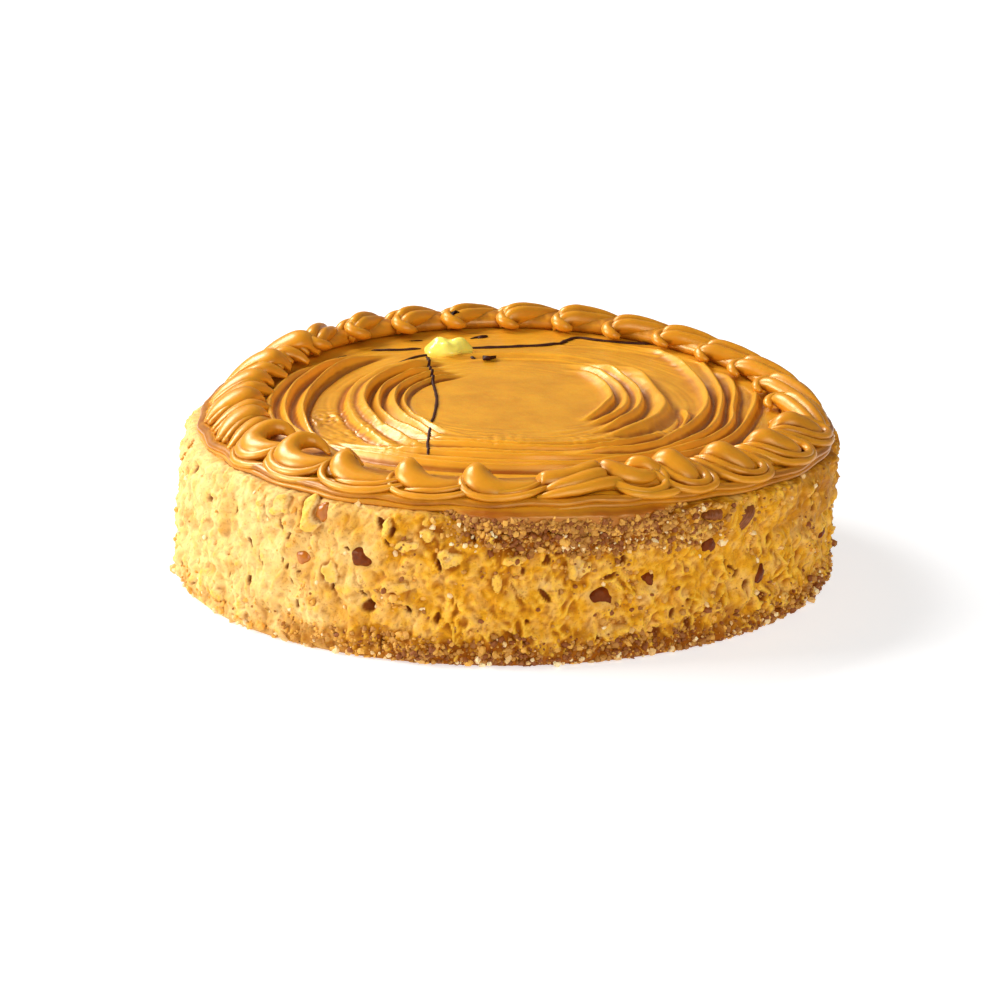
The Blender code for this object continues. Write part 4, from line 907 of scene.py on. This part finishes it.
def buttercream(name, light, deep):
    """Coffee buttercream between two colours, the second painted shade where a piece says a point lies deep
    in a groove.
    """
    material, tree, shader, coordinates = new_material(name, {
        "Specular IOR Level": 0.85, "Specular Tint": linear(WARM_SHINE), "Subsurface Weight": 0.18,
        "Subsurface Radius": (0.003, 0.0012, 0.0004), "Subsurface Scale": 1.0})
    cloud, fine = (
        node(tree, "ShaderNodeTexNoise", {"Vector": coordinates, "Scale": 1000.0 / size, "Detail": 3.0})
        for size in (CREAM_CLOUD_SIZE, CREAM_GRAIN_SIZE))
    depth = node(tree, "ShaderNodeAttribute", {}, attribute_name="groove").outputs["Fac"]
    deeper = node(tree, "ShaderNodeMapRange", {
        "Value": depth, "From Min": 0.45, "From Max": 0.85, "To Min": 0.0, "To Max": 0.8})
    clouded = node(tree, "ShaderNodeMapRange", {
        "Value": cloud.outputs["Fac"], "From Min": 0.3, "From Max": 0.7, "To Min": -0.12, "To Max": 0.2})
    share = node(tree, "ShaderNodeMath", {
        0: deeper.outputs["Result"], 1: clouded.outputs["Result"]}, operation="ADD", use_clamp=True)
    colour = node(tree, "ShaderNodeMix", {
        "Factor": share.outputs["Value"], 6: linear(light), 7: linear(deep)}, data_type="RGBA")
    bump = node(tree, "ShaderNodeBump", {"Height": fine.outputs["Fac"], "Strength": 0.12, "Distance": 0.0008})
    shine = node(tree, "ShaderNodeMapRange", {
        "Value": fine.outputs["Fac"], "From Min": 0.3, "From Max": 0.7, "To Min": 0.28, "To Max": 0.38})
    tree.links.new(colour.outputs[2], shader.inputs["Base Color"])
    tree.links.new(bump.outputs["Normal"], shader.inputs["Normal"])
    tree.links.new(shine.outputs["Result"], shader.inputs["Roughness"])
    return material


coffee_icing = buttercream("combed_coffee_buttercream", "#EAA222", "#A25204")
icing_piece = add_piece("combed_icing", settled(icing_points), icing_faces, coffee_icing, groove=groove)
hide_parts("icing")

# Crumbs that stick to the smear of icing, most of them near its torn edge
SMEAR_CRUMBS = 1200
SMEAR_CRUMB_SEED = 44
rng = np.random.default_rng(SMEAR_CRUMB_SEED)
chosen = drawn_places(rng, SMEAR_CRUMBS, smeared * smooth_step(0.35, 0.95, drop) * (1.0 - tuck))
sizes = 0.4 + 0.9 * rng.uniform(0.0, 1.0, SMEAR_CRUMBS) ** 3
middles = skirt[chosen] + rng.uniform(-0.6, 0.6, (SMEAR_CRUMBS, 3))
points, faces, owner = lumps(rng, middles, sizes, CRUMB_STRETCH, CRUMB_ROUGHNESS)
brownness = np.clip(0.65 + rng.normal(0.0, 0.35, SMEAR_CRUMBS), 0.0, 1.0)
smear_piece = add_piece("smear_crumbs", settled(points), faces, toasted_crumb, smooth=False,
                        tone=brownness[owner])


# Chocolate lines and chips
# Melted dark chocolate trailed from a spoon in thin lines that sank into the icing, and four broken
# chips: three on the icing and one in the border at the back.
# Each line is its half width and the places on its way.
DRIZZLE_LINES = (
    (0.95, ((-20.0, 70.2), (0.0, 73.3), (16.5, 78.5), (21.0, 84.5), (25.5, 89.5), (33.0, 87.0),
            (43.0, 85.2), (56.0, 86.0))),
    (0.45, ((56.0, 86.0), (64.0, 84.6), (72.0, 83.2))),
    (0.75, ((-17.5, 85.0), (-10.5, 90.6))),
    (0.85, ((-36.5, 70.7), (-47.0, 69.0), (-56.5, 69.6))),
    (0.60, ((-65.5, 58.8), (-73.0, 53.0))),
    (0.80, ((-32.0, 62.5), (-39.0, 58.5), (-44.6, 50.0), (-51.0, 41.8))),
    (0.60, ((-34.2, 60.0), (-33.4, 46.0), (-31.6, 26.0), (-29.4, 0.0), (-30.0, -22.0), (-31.2, -32.0))),
    (0.55, ((-31.4, -44.0), (-31.8, -60.0), (-31.4, -76.0))),
    (0.50, ((-36.0, 82.4), (-41.5, 82.2))),
)
LINE_STEP = 0.8
LINE_SIDES = 10
LINE_TIP = 3.0
LINE_RISE = 0.2
LINE_HEIGHT_SHARE = 0.62
LINE_LUMP_SIZE = 4.0
# So many stations are averaged, so that a line bridges the finest grooves
LINE_BRIDGE = 11


def icing_top(x, y):
    """Height of the combed icing at a place, read from its own mesh."""
    radius = np.hypot(x, y)
    column = (np.arctan2(y, x) % math.tau) / math.tau * ICING_COLUMNS
    here = np.floor(column).astype(int)
    share = column - here
    heights = []
    for i in range(len(x)):
        profile = icing_z[::-1, here[i] % ICING_COLUMNS] * (1.0 - share[i])
        profile = profile + icing_z[::-1, (here[i] + 1) % ICING_COLUMNS] * share[i]
        heights.append(np.interp(radius[i], ring_radii[::-1], profile))
    return np.array(heights)


chocolate_points = []
chocolate_faces = []
for number, (half_width, path) in enumerate(DRIZZLE_LINES):
    length = np.linalg.norm(np.diff(np.array(path), axis=0), axis=1).sum()
    places = curve_through(path, round(length / LINE_STEP))
    way = np.gradient(places, axis=0)
    way /= np.linalg.norm(way, axis=1)[:, None]
    run = np.linspace(0.0, 1.0, len(places))
    ends = np.clip(np.minimum(run, 1.0 - run) * len(places) * LINE_STEP / LINE_TIP, 0.02, 1.0) ** 0.6
    lump_places = np.column_stack([places, np.full(len(places), 7.0 * number)])
    half = half_width * ends * (1.0 + 0.28 * noise_at(lump_places, LINE_LUMP_SIZE))
    level = icing_top(places[:, 0], places[:, 1])
    kernel = np.hanning(LINE_BRIDGE) / np.hanning(LINE_BRIDGE).sum()
    level = np.maximum(level, np.convolve(np.pad(level, LINE_BRIDGE // 2, mode="edge"), kernel, mode="valid"))
    start = sum(len(p) for p in chocolate_points)
    around = np.linspace(0.0, math.tau, LINE_SIDES, endpoint=False)
    x = places[:, :1] + way[:, 1:] * half[:, None] * np.cos(around)
    y = places[:, 1:] - way[:, :1] * half[:, None] * np.cos(around)
    z = (level + LINE_RISE)[:, None] + (LINE_HEIGHT_SHARE * half)[:, None] * np.sin(around)
    chocolate_points.append(np.stack([x, y, z], axis=-1).reshape(-1, 3))
    chocolate_faces += (start + np.array(ring_faces(len(places), LINE_SIDES))).tolist()

# Each chip: place, length, width, turn in degrees and how far it stands up
CHIPS = ((-10.0, 53.5, 6.0, 3.4, 25.0, 1.9), (-12.5, 87.5, 5.0, 1.6, 32.0, 0.8),
         (-16.0, 57.0, 3.0, 1.4, -50.0, 0.9), (-24.5, 97.5, 6.0, 2.6, 10.0, 8.6))
# The corners of a chip, as shares of its length, its width and its rise, and how deep it goes below that
CHIP_CORNERS = ((-0.5, -0.3, 0.5), (-0.05, -0.5, 1.0), (0.5, -0.1, 0.75), (0.25, 0.45, 0.35),
                (-0.35, 0.4, 0.8))
CHIP_DEPTH = 1.6
for x, y, length, width, turn_degrees, rise in CHIPS:
    level = icing_top(np.array([x]), np.array([y]))[0]
    c, s = math.cos(math.radians(turn_degrees)), math.sin(math.radians(turn_degrees))
    start = sum(len(p) for p in chocolate_points)
    chip = []
    for under in (True, False):
        for u, v, top_share in CHIP_CORNERS:
            u, v = u * length, v * width
            top = level + (rise - CHIP_DEPTH if under else rise * top_share)
            chip.append((x + c * u - s * v, y + s * u + c * v, top))
    chocolate_points.append(np.array(chip))
    chocolate_faces.append(tuple(start + k for k in (4, 3, 2, 1, 0)))
    chocolate_faces.append(tuple(start + k for k in (5, 6, 7, 8, 9)))
    chocolate_faces += [(start + k, start + (k + 1) % 5, start + 5 + (k + 1) % 5, start + 5 + k)
                        for k in range(5)]

# Dark chocolate: set cocoa butter, almost black-brown, dulled a little by bloom.
BLOOM_SIZE = 3.0
dark_chocolate = mottled_material("dark_chocolate", BLOOM_SIZE, 3.0, "#2A0E04", "#4C200C", {
    "Roughness": 0.5, "Specular IOR Level": 0.2})[0]
chocolate_piece = add_piece("chocolate_lines", settled(np.vstack(chocolate_points)), chocolate_faces,
                            dark_chocolate)


# Piped border
# Coffee buttercream piped round the rim with a star nozzle, one scroll after another. A scroll is fat lobes
# that curl in to the icing and thin ridges left by the nozzle's teeth, over a bed and two bands of cream.
BORDER_RADIUS = 110.0
SCROLLS = 28
SCROLL_PITCH = math.tau * BORDER_RADIUS / SCROLLS
# Each tube of cream is how far its inner side is stretched, then the rows of its way: place along the rim,
# radius, height, half width and half height. A ridge is round, so one number stands for both halves.
FRONT_SCROLL = (
    (1.4, ((7.2, 101.6, 66.0, 1.0, 1.0), (4.2, 102.4, 68.2, 2.2, 2.4), (2.0, 104.6, 69.7, 3.3, 3.6),
           (1.9, 107.6, 69.0, 4.3, 4.3), (3.9, 110.0, 67.7, 5.2, 4.5), (7.6, 111.6, 66.2, 5.5, 4.2),
           (12.0, 112.3, 65.2, 5.1, 3.8), (17.0, 112.0, 64.9, 4.6, 3.4), (21.4, 111.0, 64.9, 4.0, 3.1),
           (25.0, 109.6, 65.0, 3.2, 2.8), (27.8, 108.4, 65.0, 1.4, 1.4))),
    (1.0, ((0.0, 104.6, 67.8, 0.6), (-1.9, 108.0, 67.8, 1.1), (-1.6, 112.0, 66.9, 1.3),
           (0.6, 115.6, 65.6, 1.3), (4.8, 118.2, 64.5, 1.3), (10.5, 119.2, 64.0, 1.4),
           (16.0, 119.0, 64.1, 1.4), (21.4, 117.8, 64.6, 1.4), (26.2, 115.4, 65.4, 1.2),
           (29.4, 113.2, 66.0, 0.6))),
    (1.0, ((6.0, 115.6, 65.2, 0.6), (11.0, 116.6, 65.5, 1.2), (16.6, 116.2, 65.6, 1.3),
           (21.6, 114.4, 66.2, 1.3), (25.4, 111.4, 67.0, 1.1), (27.6, 108.4, 67.6, 0.6))),
)
HOLLOW_SCROLL = (
    (1.15, ((12.5, 97.4, 65.4, 0.6, 0.6), (8.6, 96.8, 67.0, 1.6, 1.6), (4.4, 98.4, 68.6, 2.2, 2.5),
            (1.6, 102.4, 69.2, 2.9, 3.4), (1.6, 107.4, 68.2, 3.7, 4.0), (4.4, 111.2, 66.7, 4.5, 4.1),
            (9.0, 112.8, 65.9, 4.6, 3.8), (14.4, 112.4, 65.6, 4.5, 3.6), (19.2, 110.2, 65.6, 4.0, 3.3),
            (23.0, 107.2, 65.6, 3.0, 2.8), (25.4, 104.4, 65.2, 1.2, 1.4))),
    (1.0, ((3.0, 98.0, 66.6, 0.6), (-0.8, 100.8, 67.6, 1.3), (-2.4, 106.0, 67.4, 1.6),
           (-0.8, 111.8, 66.4, 1.7), (4.0, 116.2, 65.0, 1.8), (10.0, 117.8, 64.2, 1.9),
           (16.0, 117.0, 64.4, 1.9), (20.4, 114.0, 65.6, 1.8), (22.4, 109.6, 67.0, 1.6),
           (22.2, 106.0, 67.4, 0.7))),
    (1.0, ((-2.0, 113.4, 64.6, 0.8), (1.4, 117.0, 63.4, 1.3), (8.0, 119.4, 62.0, 1.5),
           (16.0, 119.4, 61.9, 1.5), (23.0, 117.8, 62.8, 1.3), (27.0, 115.6, 63.6, 0.7))),
)
FAN_SCROLL = (
    (1.0, ((0.6, 108.2, 66.0, 1.6, 1.8), (2.4, 107.8, 67.4, 3.6, 3.2), (8.0, 107.2, 67.6, 4.4, 3.5),
           (15.0, 106.0, 67.9, 4.2, 3.4), (21.0, 104.4, 68.8, 3.8, 3.2), (26.5, 102.8, 69.2, 3.0, 2.8),
           (29.5, 102.0, 68.0, 1.2, 1.4))),
    (1.0, ((3.0, 112.8, 64.8, 0.8, 0.8), (7.6, 112.4, 66.0, 2.4, 2.0), (15.4, 110.8, 66.9, 3.4, 2.8),
           (23.4, 108.4, 67.6, 3.8, 3.1), (28.4, 107.0, 67.5, 3.4, 2.8), (29.8, 106.8, 66.7, 1.4, 1.6))),
    (1.0, ((1.0, 116.6, 63.4, 0.8, 0.8), (7.0, 116.6, 64.2, 2.0, 1.8), (17.0, 115.0, 65.0, 3.0, 2.4),
           (27.0, 112.8, 65.8, 3.3, 2.6), (35.0, 111.6, 65.6, 2.6, 2.2), (38.5, 112.0, 64.7, 1.0, 1.0))),
)
HOOK_SCROLL = (
    (1.0, ((3.6, 101.0, 67.0, 1.4, 1.6), (5.0, 102.6, 69.2, 2.8, 3.0), (8.0, 105.4, 69.0, 4.2, 3.8),
           (13.0, 108.4, 67.7, 5.0, 4.0), (19.0, 110.0, 66.8, 4.8, 3.8), (25.0, 109.6, 66.4, 3.6, 3.2),
           (29.0, 108.0, 66.0, 1.6, 1.8))),
    (1.0, ((17.5, 99.8, 67.0, 1.0, 1.2), (20.0, 101.2, 69.0, 2.4, 2.6), (24.5, 103.6, 69.3, 3.0, 3.2),
           (29.0, 106.0, 68.2, 3.0, 3.0), (31.5, 108.6, 66.6, 1.6, 1.8))),
    (1.0, ((4.4, 106.0, 67.6, 0.8), (6.4, 110.6, 66.6, 1.5), (12.0, 115.6, 65.0, 1.6),
           (20.0, 118.0, 64.0, 1.7), (27.6, 116.6, 64.7, 1.7), (31.2, 112.2, 66.2, 1.7),
           (31.6, 107.0, 68.0, 1.6), (30.0, 103.0, 68.8, 0.8))),
    (1.0, ((8.0, 114.6, 64.6, 0.8), (13.0, 118.4, 63.2, 1.6), (21.0, 119.8, 62.6, 1.8),
           (30.0, 119.4, 62.8, 1.8), (36.0, 117.4, 63.4, 1.0))),
)
RIGHT_SCROLL = (
    (1.0, ((9.6, 97.4, 66.2, 1.6, 1.8), (10.6, 100.2, 69.0, 3.9, 3.6), (12.4, 104.4, 69.8, 4.9, 4.5),
           (14.6, 109.0, 68.3, 4.9, 4.1), (16.6, 113.0, 66.6, 4.1, 3.5), (18.0, 115.6, 65.2, 2.0, 2.1))),
    (1.0, ((15.8, 96.0, 66.0, 0.8), (18.4, 99.4, 67.8, 1.5), (20.6, 104.0, 68.4, 1.9),
           (22.2, 109.6, 67.3, 2.0), (22.4, 114.6, 65.9, 1.9), (19.4, 117.8, 64.9, 1.7),
           (14.4, 117.2, 65.0, 1.7), (10.2, 113.4, 66.2, 1.8), (7.6, 108.2, 67.6, 1.9),
           (6.0, 103.0, 68.2, 1.7), (5.4, 98.4, 67.2, 0.8))),
    (1.0, ((25.6, 108.0, 66.8, 0.8), (26.0, 113.4, 65.4, 1.5), (23.0, 118.2, 63.9, 1.7),
           (16.4, 119.8, 63.2, 1.7), (9.8, 118.0, 63.8, 1.8), (5.6, 113.6, 65.4, 1.9),
           (3.4, 108.0, 66.9, 2.0), (2.0, 102.0, 67.6, 1.9), (1.4, 97.0, 66.2, 0.8))),
)
LEFT_SCROLL = (
    (1.0, ((-3.0, 96.0, 65.6, 1.6, 1.2), (-1.4, 99.4, 67.8, 4.4, 2.8), (1.6, 104.0, 68.9, 6.4, 3.9),
           (5.4, 109.0, 68.1, 6.0, 3.6), (9.2, 113.8, 66.1, 4.0, 2.8), (12.2, 117.6, 63.8, 1.4, 1.2))),
    (1.0, ((9.6, 94.0, 65.4, 1.4, 1.2), (11.2, 98.6, 67.2, 3.0, 2.4), (14.0, 103.4, 68.2, 4.2, 3.2),
           (17.6, 108.6, 67.4, 4.0, 3.0), (21.4, 113.4, 65.6, 2.8, 2.4), (24.4, 117.4, 63.8, 1.2, 1.2))),
    (1.0, ((4.2, 97.4, 66.4, 0.8), (5.8, 102.0, 68.4, 1.6), (8.8, 107.2, 68.2, 1.9),
           (12.6, 112.2, 66.6, 1.9), (16.2, 116.6, 64.4, 1.2))),
    (1.0, ((16.8, 98.0, 66.4, 0.8), (18.6, 102.6, 68.4, 1.6), (21.4, 107.4, 68.0, 1.9),
           (25.0, 112.4, 66.4, 1.8), (28.6, 116.8, 64.2, 1.1))),
)
BACK_SCROLL = (
    (1.0, ((23.0, 98.2, 66.2, 1.2, 1.4), (20.4, 99.2, 68.2, 2.6, 2.8), (15.4, 101.6, 68.8, 3.1, 3.4),
           (9.6, 104.8, 68.2, 3.2, 3.4), (4.0, 108.0, 67.4, 3.0, 3.2), (-1.0, 110.8, 66.6, 2.4, 2.6),
           (-4.6, 112.6, 65.8, 1.0, 1.2))),
    (1.0, ((24.0, 101.4, 66.8, 1.2, 1.4), (21.4, 102.8, 69.4, 2.7, 3.0), (16.6, 105.6, 70.0, 3.2, 3.5),
           (10.8, 108.8, 69.2, 3.2, 3.4), (5.0, 111.8, 68.0, 2.9, 3.1), (0.0, 114.4, 66.6, 2.2, 2.4),
           (-3.6, 116.2, 65.2, 1.0, 1.2))),
    (1.0, ((25.6, 105.4, 66.0, 1.4, 1.2), (22.4, 108.0, 67.8, 2.8, 2.7), (16.6, 111.0, 67.8, 3.2, 3.0),
           (10.0, 114.0, 66.4, 3.0, 2.8), (4.0, 116.8, 64.6, 1.8, 1.6))),
    (1.0, ((15.0, 96.6, 66.4, 0.9), (18.2, 95.8, 67.2, 1.9), (22.0, 97.4, 68.0, 2.3),
           (23.2, 100.8, 68.9, 2.1), (20.6, 104.4, 69.5, 1.7), (15.6, 107.6, 69.3, 1.4),
           (10.6, 110.6, 68.3, 1.3), (6.0, 113.4, 67.0, 0.9))),
)
# Where the scrolls start, in degrees, and the form of each, from the left side past the front to the right
FRONT_STARTS = (194.0, 207.0, 219.0, 233.5, 247.5, 261.0, 273.5, 284.5, 295.0, 307.5, 322.0, 339.0, 354.0)
FRONT_FORMS = (LEFT_SCROLL, HOLLOW_SCROLL, HOLLOW_SCROLL, FRONT_SCROLL, FRONT_SCROLL, FRONT_SCROLL,
               FAN_SCROLL, HOOK_SCROLL, RIGHT_SCROLL, RIGHT_SCROLL, RIGHT_SCROLL, RIGHT_SCROLL)
LEFT_FORMS = 4
# How far each tube may slide along the rim, stand out, stand up and be fatter, as piping varies
SLIDE = 0.6
STAND_OUT = 0.7
STAND_UP = 0.35
FATTER = 0.09
LIFT_FROM_HEIGHT = 63.0
LIFT_SPAN = 6.0
OUTSIDE_DROP = 9.0
DRAG_SIZE = 5.0
DRAG_DEPTH = 0.15
MM_PER_STATION = 1.0
LOBE_SIDES = 26
RIDGE_SIDES = 14
CREST_POWER = 1.25
SCROLL_SEED = 11
BORDER_CLEARANCE = 0.4
RIM_CLEARANCE = 1.0
# The bed of cream under the scrolls and the two bands at its foot: radius, height, half width, half height
BED = (107.2, 64.2, 6.6, 3.6)
BANDS = ((118.0, 62.0, 2.4, 1.4), (118.2, 59.9, 2.3, 1.4))
BACK_RISE_OF_BED = 1.8
BED_COLUMNS = 400
BED_SIDES = 14
BED_BACK_PLACE = (90.0, 50.0, 95.0)
HOLLOW_SCROLLS = (1, 2)
HOLLOW_NARROWING = 4.0
# Painted shade in the border's creases: how far round a point to look, how dark, and how much less on the bed
# and bands
CREASE_REACH = 2.0
CREASE_SHADE_DEPTH = 2.9
BAND_CREASE_SHADE = 0.55


def scroll_start(index):
    """The angle at which a scroll starts; the scrolls behind the cake are evenly spread."""
    turns, place = divmod(index, SCROLLS)
    last_start = len(FRONT_STARTS) - 1
    if place <= last_start:
        degrees = FRONT_STARTS[place]
    else:
        rest = FRONT_STARTS[0] + 360.0 - FRONT_STARTS[last_start]
        degrees = FRONT_STARTS[last_start] + rest * (place - last_start) / (SCROLLS - last_start)
    return math.radians(degrees + 360.0 * turns)


def scroll_form(index):
    """The tubes of a scroll: those behind the cake are back scrolls, up to the left ones."""
    if index < len(FRONT_FORMS):
        return FRONT_FORMS[index]
    return LEFT_SCROLL if index >= SCROLLS - LEFT_FORMS else BACK_SCROLL


def border_floor(radius):
    """The lowest that the border may reach: just over the icing, or over the coat outside the icing's rim."""
    edge = np.maximum(radius - EDGE_START, 0.0) / (ICING_RADIUS - EDGE_START)
    on_icing = ICING_LEVEL - EDGE_DROP * edge ** 3 + BORDER_CLEARANCE
    return np.where(radius > ICING_RADIUS + RIM_CLEARANCE, ICING_LEVEL - OUTSIDE_DROP, on_icing)


def piped_tube(way, angle, pitch, stretch, start):
    """A tube of cream along a scroll's way, with its inner side stretched, that sags at the front."""
    if way.shape[1] == 4:
        way = np.column_stack([way, way[:, 3]])
        sides = RIDGE_SIDES
    else:
        sides = LOBE_SIDES
    along, radius, height, half_width, half_height = way.T
    turn = angle + along * pitch / BORDER_RADIUS
    radius = radius - LEFT_PULL * share_at(turn, PULL_PLACE)
    height = height - FRONT_DROOP * share_at(turn, DROOP_PLACE)
    lifted = np.clip((height - LIFT_FROM_HEIGHT) / LIFT_SPAN, 0.0, 1.0)
    height = height + CREST_LIFT * share_at(turn, LIFT_PLACE) * lifted
    around = np.linspace(0.0, math.tau, sides, endpoint=False)
    across = np.where(np.cos(around) < 0.0, stretch, 1.0) * np.cos(around)
    upward = np.sign(np.sin(around)) * np.abs(np.sin(around)) ** CREST_POWER
    places = np.stack([radius * np.cos(turn), radius * np.sin(turn)], axis=1)
    heading = np.gradient(places, axis=0)
    heading /= np.linalg.norm(heading, axis=1)[:, None]
    reach = half_width[:, None] * across
    x = places[:, :1] + heading[:, 1:] * reach
    y = places[:, 1:] - heading[:, :1] * reach
    z = np.maximum(height[:, None] + half_height[:, None] * upward, border_floor(np.hypot(x, y)))
    faces = (start + np.array(ring_faces(len(way), sides))[:, (0, 3, 2, 1)]).tolist()
    last = start + (len(way) - 1) * sides
    faces += [list(range(start, start + sides)), list(range(last + sides - 1, last - 1, -1))]
    return np.stack([x, y, z], axis=-1).reshape(-1, 3), faces


border_points = []
border_faces = []
rng = np.random.default_rng(SCROLL_SEED)
for index in range(SCROLLS):
    angle = scroll_start(index)
    pitch = (scroll_start(index + 1) - angle) * BORDER_RADIUS / SCROLL_PITCH
    for stretch, rows in scroll_form(index):
        fat, out, lift, slide = rng.uniform(-1.0, 1.0, 4)
        length = np.linalg.norm(np.diff(np.array(rows)[:, :3], axis=0), axis=1).sum()
        way = curve_through(rows, round(length / MM_PER_STATION))
        way[:, 0] += SLIDE * slide
        way[:, 1] += STAND_OUT * out
        way[:, 2] += STAND_UP * lift
        way[:, 3:] *= 1.0 + FATTER * fat
        points, faces = piped_tube(way, angle, pitch, stretch, sum(len(p) for p in border_points))
        border_points.append(points)
        border_faces += faces

# The bed of cream under the scrolls, and the bands that the nozzle laid round its foot. Two scrolls on the
# left front leave a small hollow on their inner side, so the bed is narrow there.
bed_angles = np.arange(BED_COLUMNS) * math.tau / BED_COLUMNS
starts = np.array([scroll_start(index) for index in range(-SCROLLS, SCROLLS + 1)])
turns_round = np.interp(bed_angles, starts, np.arange(-SCROLLS, SCROLLS + 1))
hollow_share = np.zeros(BED_COLUMNS)
for index in HOLLOW_SCROLLS:
    off = np.abs((turns_round - index - 0.45 + SCROLLS / 2.0) % SCROLLS - SCROLLS / 2.0)
    hollow_share = np.maximum(hollow_share, 1.0 - smooth_step(0.25, 0.5, off))
scallop = np.cos(math.tau * (turns_round - 0.42))
sag = FRONT_DROOP * share_at(bed_angles, DROOP_PLACE)
pull = LEFT_PULL * share_at(bed_angles, PULL_PLACE)
back_share = share_at(bed_angles, BED_BACK_PLACE) + 0.5 * share_at(bed_angles, LIFT_PLACE)
scroll_points = sum(len(p) for p in border_points)
bed_round = np.linspace(0.0, math.tau, BED_SIDES, endpoint=False)[:, None]
for (radius, height, half_width, half_height), narrow, wave, rise in (
        (BED, HOLLOW_NARROWING, 0.0, BACK_RISE_OF_BED), (BANDS[0], 0.0, 0.5, 0.0), (BANDS[1], 0.0, 0.3, 0.0)):
    wide = half_width - narrow * hollow_share
    ring_radius = radius + narrow * hollow_share + wave * scallop - pull + wide * np.cos(bed_round)
    ring_height = height + rise * back_share - sag - 0.6 * wave * scallop + half_height * np.sin(bed_round)
    ring_height = np.maximum(ring_height, border_floor(ring_radius))
    count = sum(len(p) for p in border_points)
    border_points.append(polar(ring_radius, bed_angles[None, :], ring_height))
    faces = np.array(ring_faces(BED_SIDES, BED_COLUMNS) + ring_faces_closing(BED_SIDES, BED_COLUMNS)) + count
    border_faces += faces[:, ::-1].tolist()
border_points = np.vstack(border_points)
drag = noise_at(border_points, DRAG_SIZE, 90.0)
border_points = border_points + DRAG_DEPTH * drag[:, None] * np.array((0.6, 0.6, 1.0))


def crease_share(ob, reach, depth):
    """How far the surface near each point of a piece stands out over it, for the painted shade in creases."""
    mesh = ob.data
    count = len(mesh.vertices)
    places = np.empty(3 * count)
    normals = np.empty(3 * count)
    mesh.vertices.foreach_get("co", places)
    mesh.vertex_normals.foreach_get("vector", normals)
    places = places.reshape(-1, 3) / MM
    normals = normals.reshape(-1, 3)
    search = kdtree.KDTree(count)
    for number, place in enumerate(places.tolist()):
        search.insert(place, number)
    search.balance()
    share = np.empty(count)
    for number, place in enumerate(places.tolist()):
        near = [found[1] for found in search.find_range(place, reach)]
        over = (places[near] - places[number]) @ normals[number]
        share[number] = np.maximum(over, 0.0).mean()
    return np.clip(depth * share / reach, 0.0, 1.0)


piped_cream = buttercream("piped_coffee_buttercream", "#DF931A", "#803802")
border_piece = add_piece("piped_scrolls", settled(border_points), border_faces, piped_cream)
# Painted shade: the creases between the scrolls take the darker colour, the bed and bands less.
groove = border_piece.data.attributes.new("groove", "FLOAT", "POINT")
creased = crease_share(border_piece, CREASE_REACH, CREASE_SHADE_DEPTH)
creased[scroll_points:] *= BAND_CREASE_SHADE
groove.data.foreach_set("value", 0.45 + 0.55 * creased)
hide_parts("piped_border")


# Dab of lemon cream
# A spoonful of bright yellow lemon cream dropped on the icing: two soft lobes with a dip between them.
DAB_MIDDLE = (-26.4, 63.5)
DAB_HALF = (8.8, 5.6)
DAB_HEIGHT = 7.4
DAB_RINGS = 34
DAB_SIDES = 96
# Each soft lobe, in halves of the dab: its place, how far it is drawn out in depth, its spread and height
DAB_LOBES = ((-0.45, 0.1, 0.5, 0.17, 0.92), (0.5, 0.0, 0.6, 0.19, 0.95), (-0.1, -0.6, 1.0, 0.08, 0.6))
LOBE_SCALE = 0.8
around = np.linspace(0.0, math.tau, DAB_SIDES, endpoint=False)[None, :]
inward = np.linspace(0.0, 1.0, DAB_RINGS)[:, None]
spread = np.cos(inward * math.pi / 2.0) * (1.0 + 0.08 * np.sin(math.pi * np.minimum(inward * 2.2, 1.0)))
rise = np.sin(inward * math.pi / 2.0) ** 0.8
uneven = 1.0 + 0.08 * np.sin(3.0 * around + 0.6) + 0.06 * np.cos(5.0 * around)
u, v = spread * uneven * np.cos(around), spread * uneven * np.sin(around)
lobes = sum(
    height * np.exp(-((u * LOBE_SCALE - x) ** 2 + drawn * (v * LOBE_SCALE - y) ** 2) / reach)
    for x, y, drawn, reach, height in DAB_LOBES)
tall = np.minimum(1.0, lobes)
dab_x, dab_y = DAB_MIDDLE[0] + DAB_HALF[0] * u, DAB_MIDDLE[1] + DAB_HALF[1] * v
dab_floor = icing_top(np.ravel(dab_x), np.ravel(dab_y)).reshape(u.shape)
dab_z = (dab_floor * (1.0 - rise) + (ICING_LEVEL + 0.3) * rise
         + rise * DAB_HEIGHT * (0.42 + 0.58 * tall) * 0.97)
dab_points = np.column_stack([np.ravel(dab_x), np.ravel(dab_y), np.ravel(dab_z)])
dab_points[:, 2] += 0.25 * noise_at(dab_points, 3.0, 5.0) * np.ravel(np.broadcast_to(rise, u.shape))

# Lemon cream: starch-set, bright yellow and wet, so that it shines and light glows through its edges.
LEMON_CLOUD_SIZE = 6.0
lemon_cream = mottled_material("lemon_cream", LEMON_CLOUD_SIZE, 2.0, "#FBDD3A", "#FFF07C", {
    "Roughness": 0.22, "Subsurface Weight": 0.25, "Subsurface Radius": (0.003, 0.002, 0.0004)})[0]
dab_piece = add_piece("lemon_dab", settled(dab_points), ring_faces(DAB_RINGS, DAB_SIDES), lemon_cream)
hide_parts("yellow_dab")
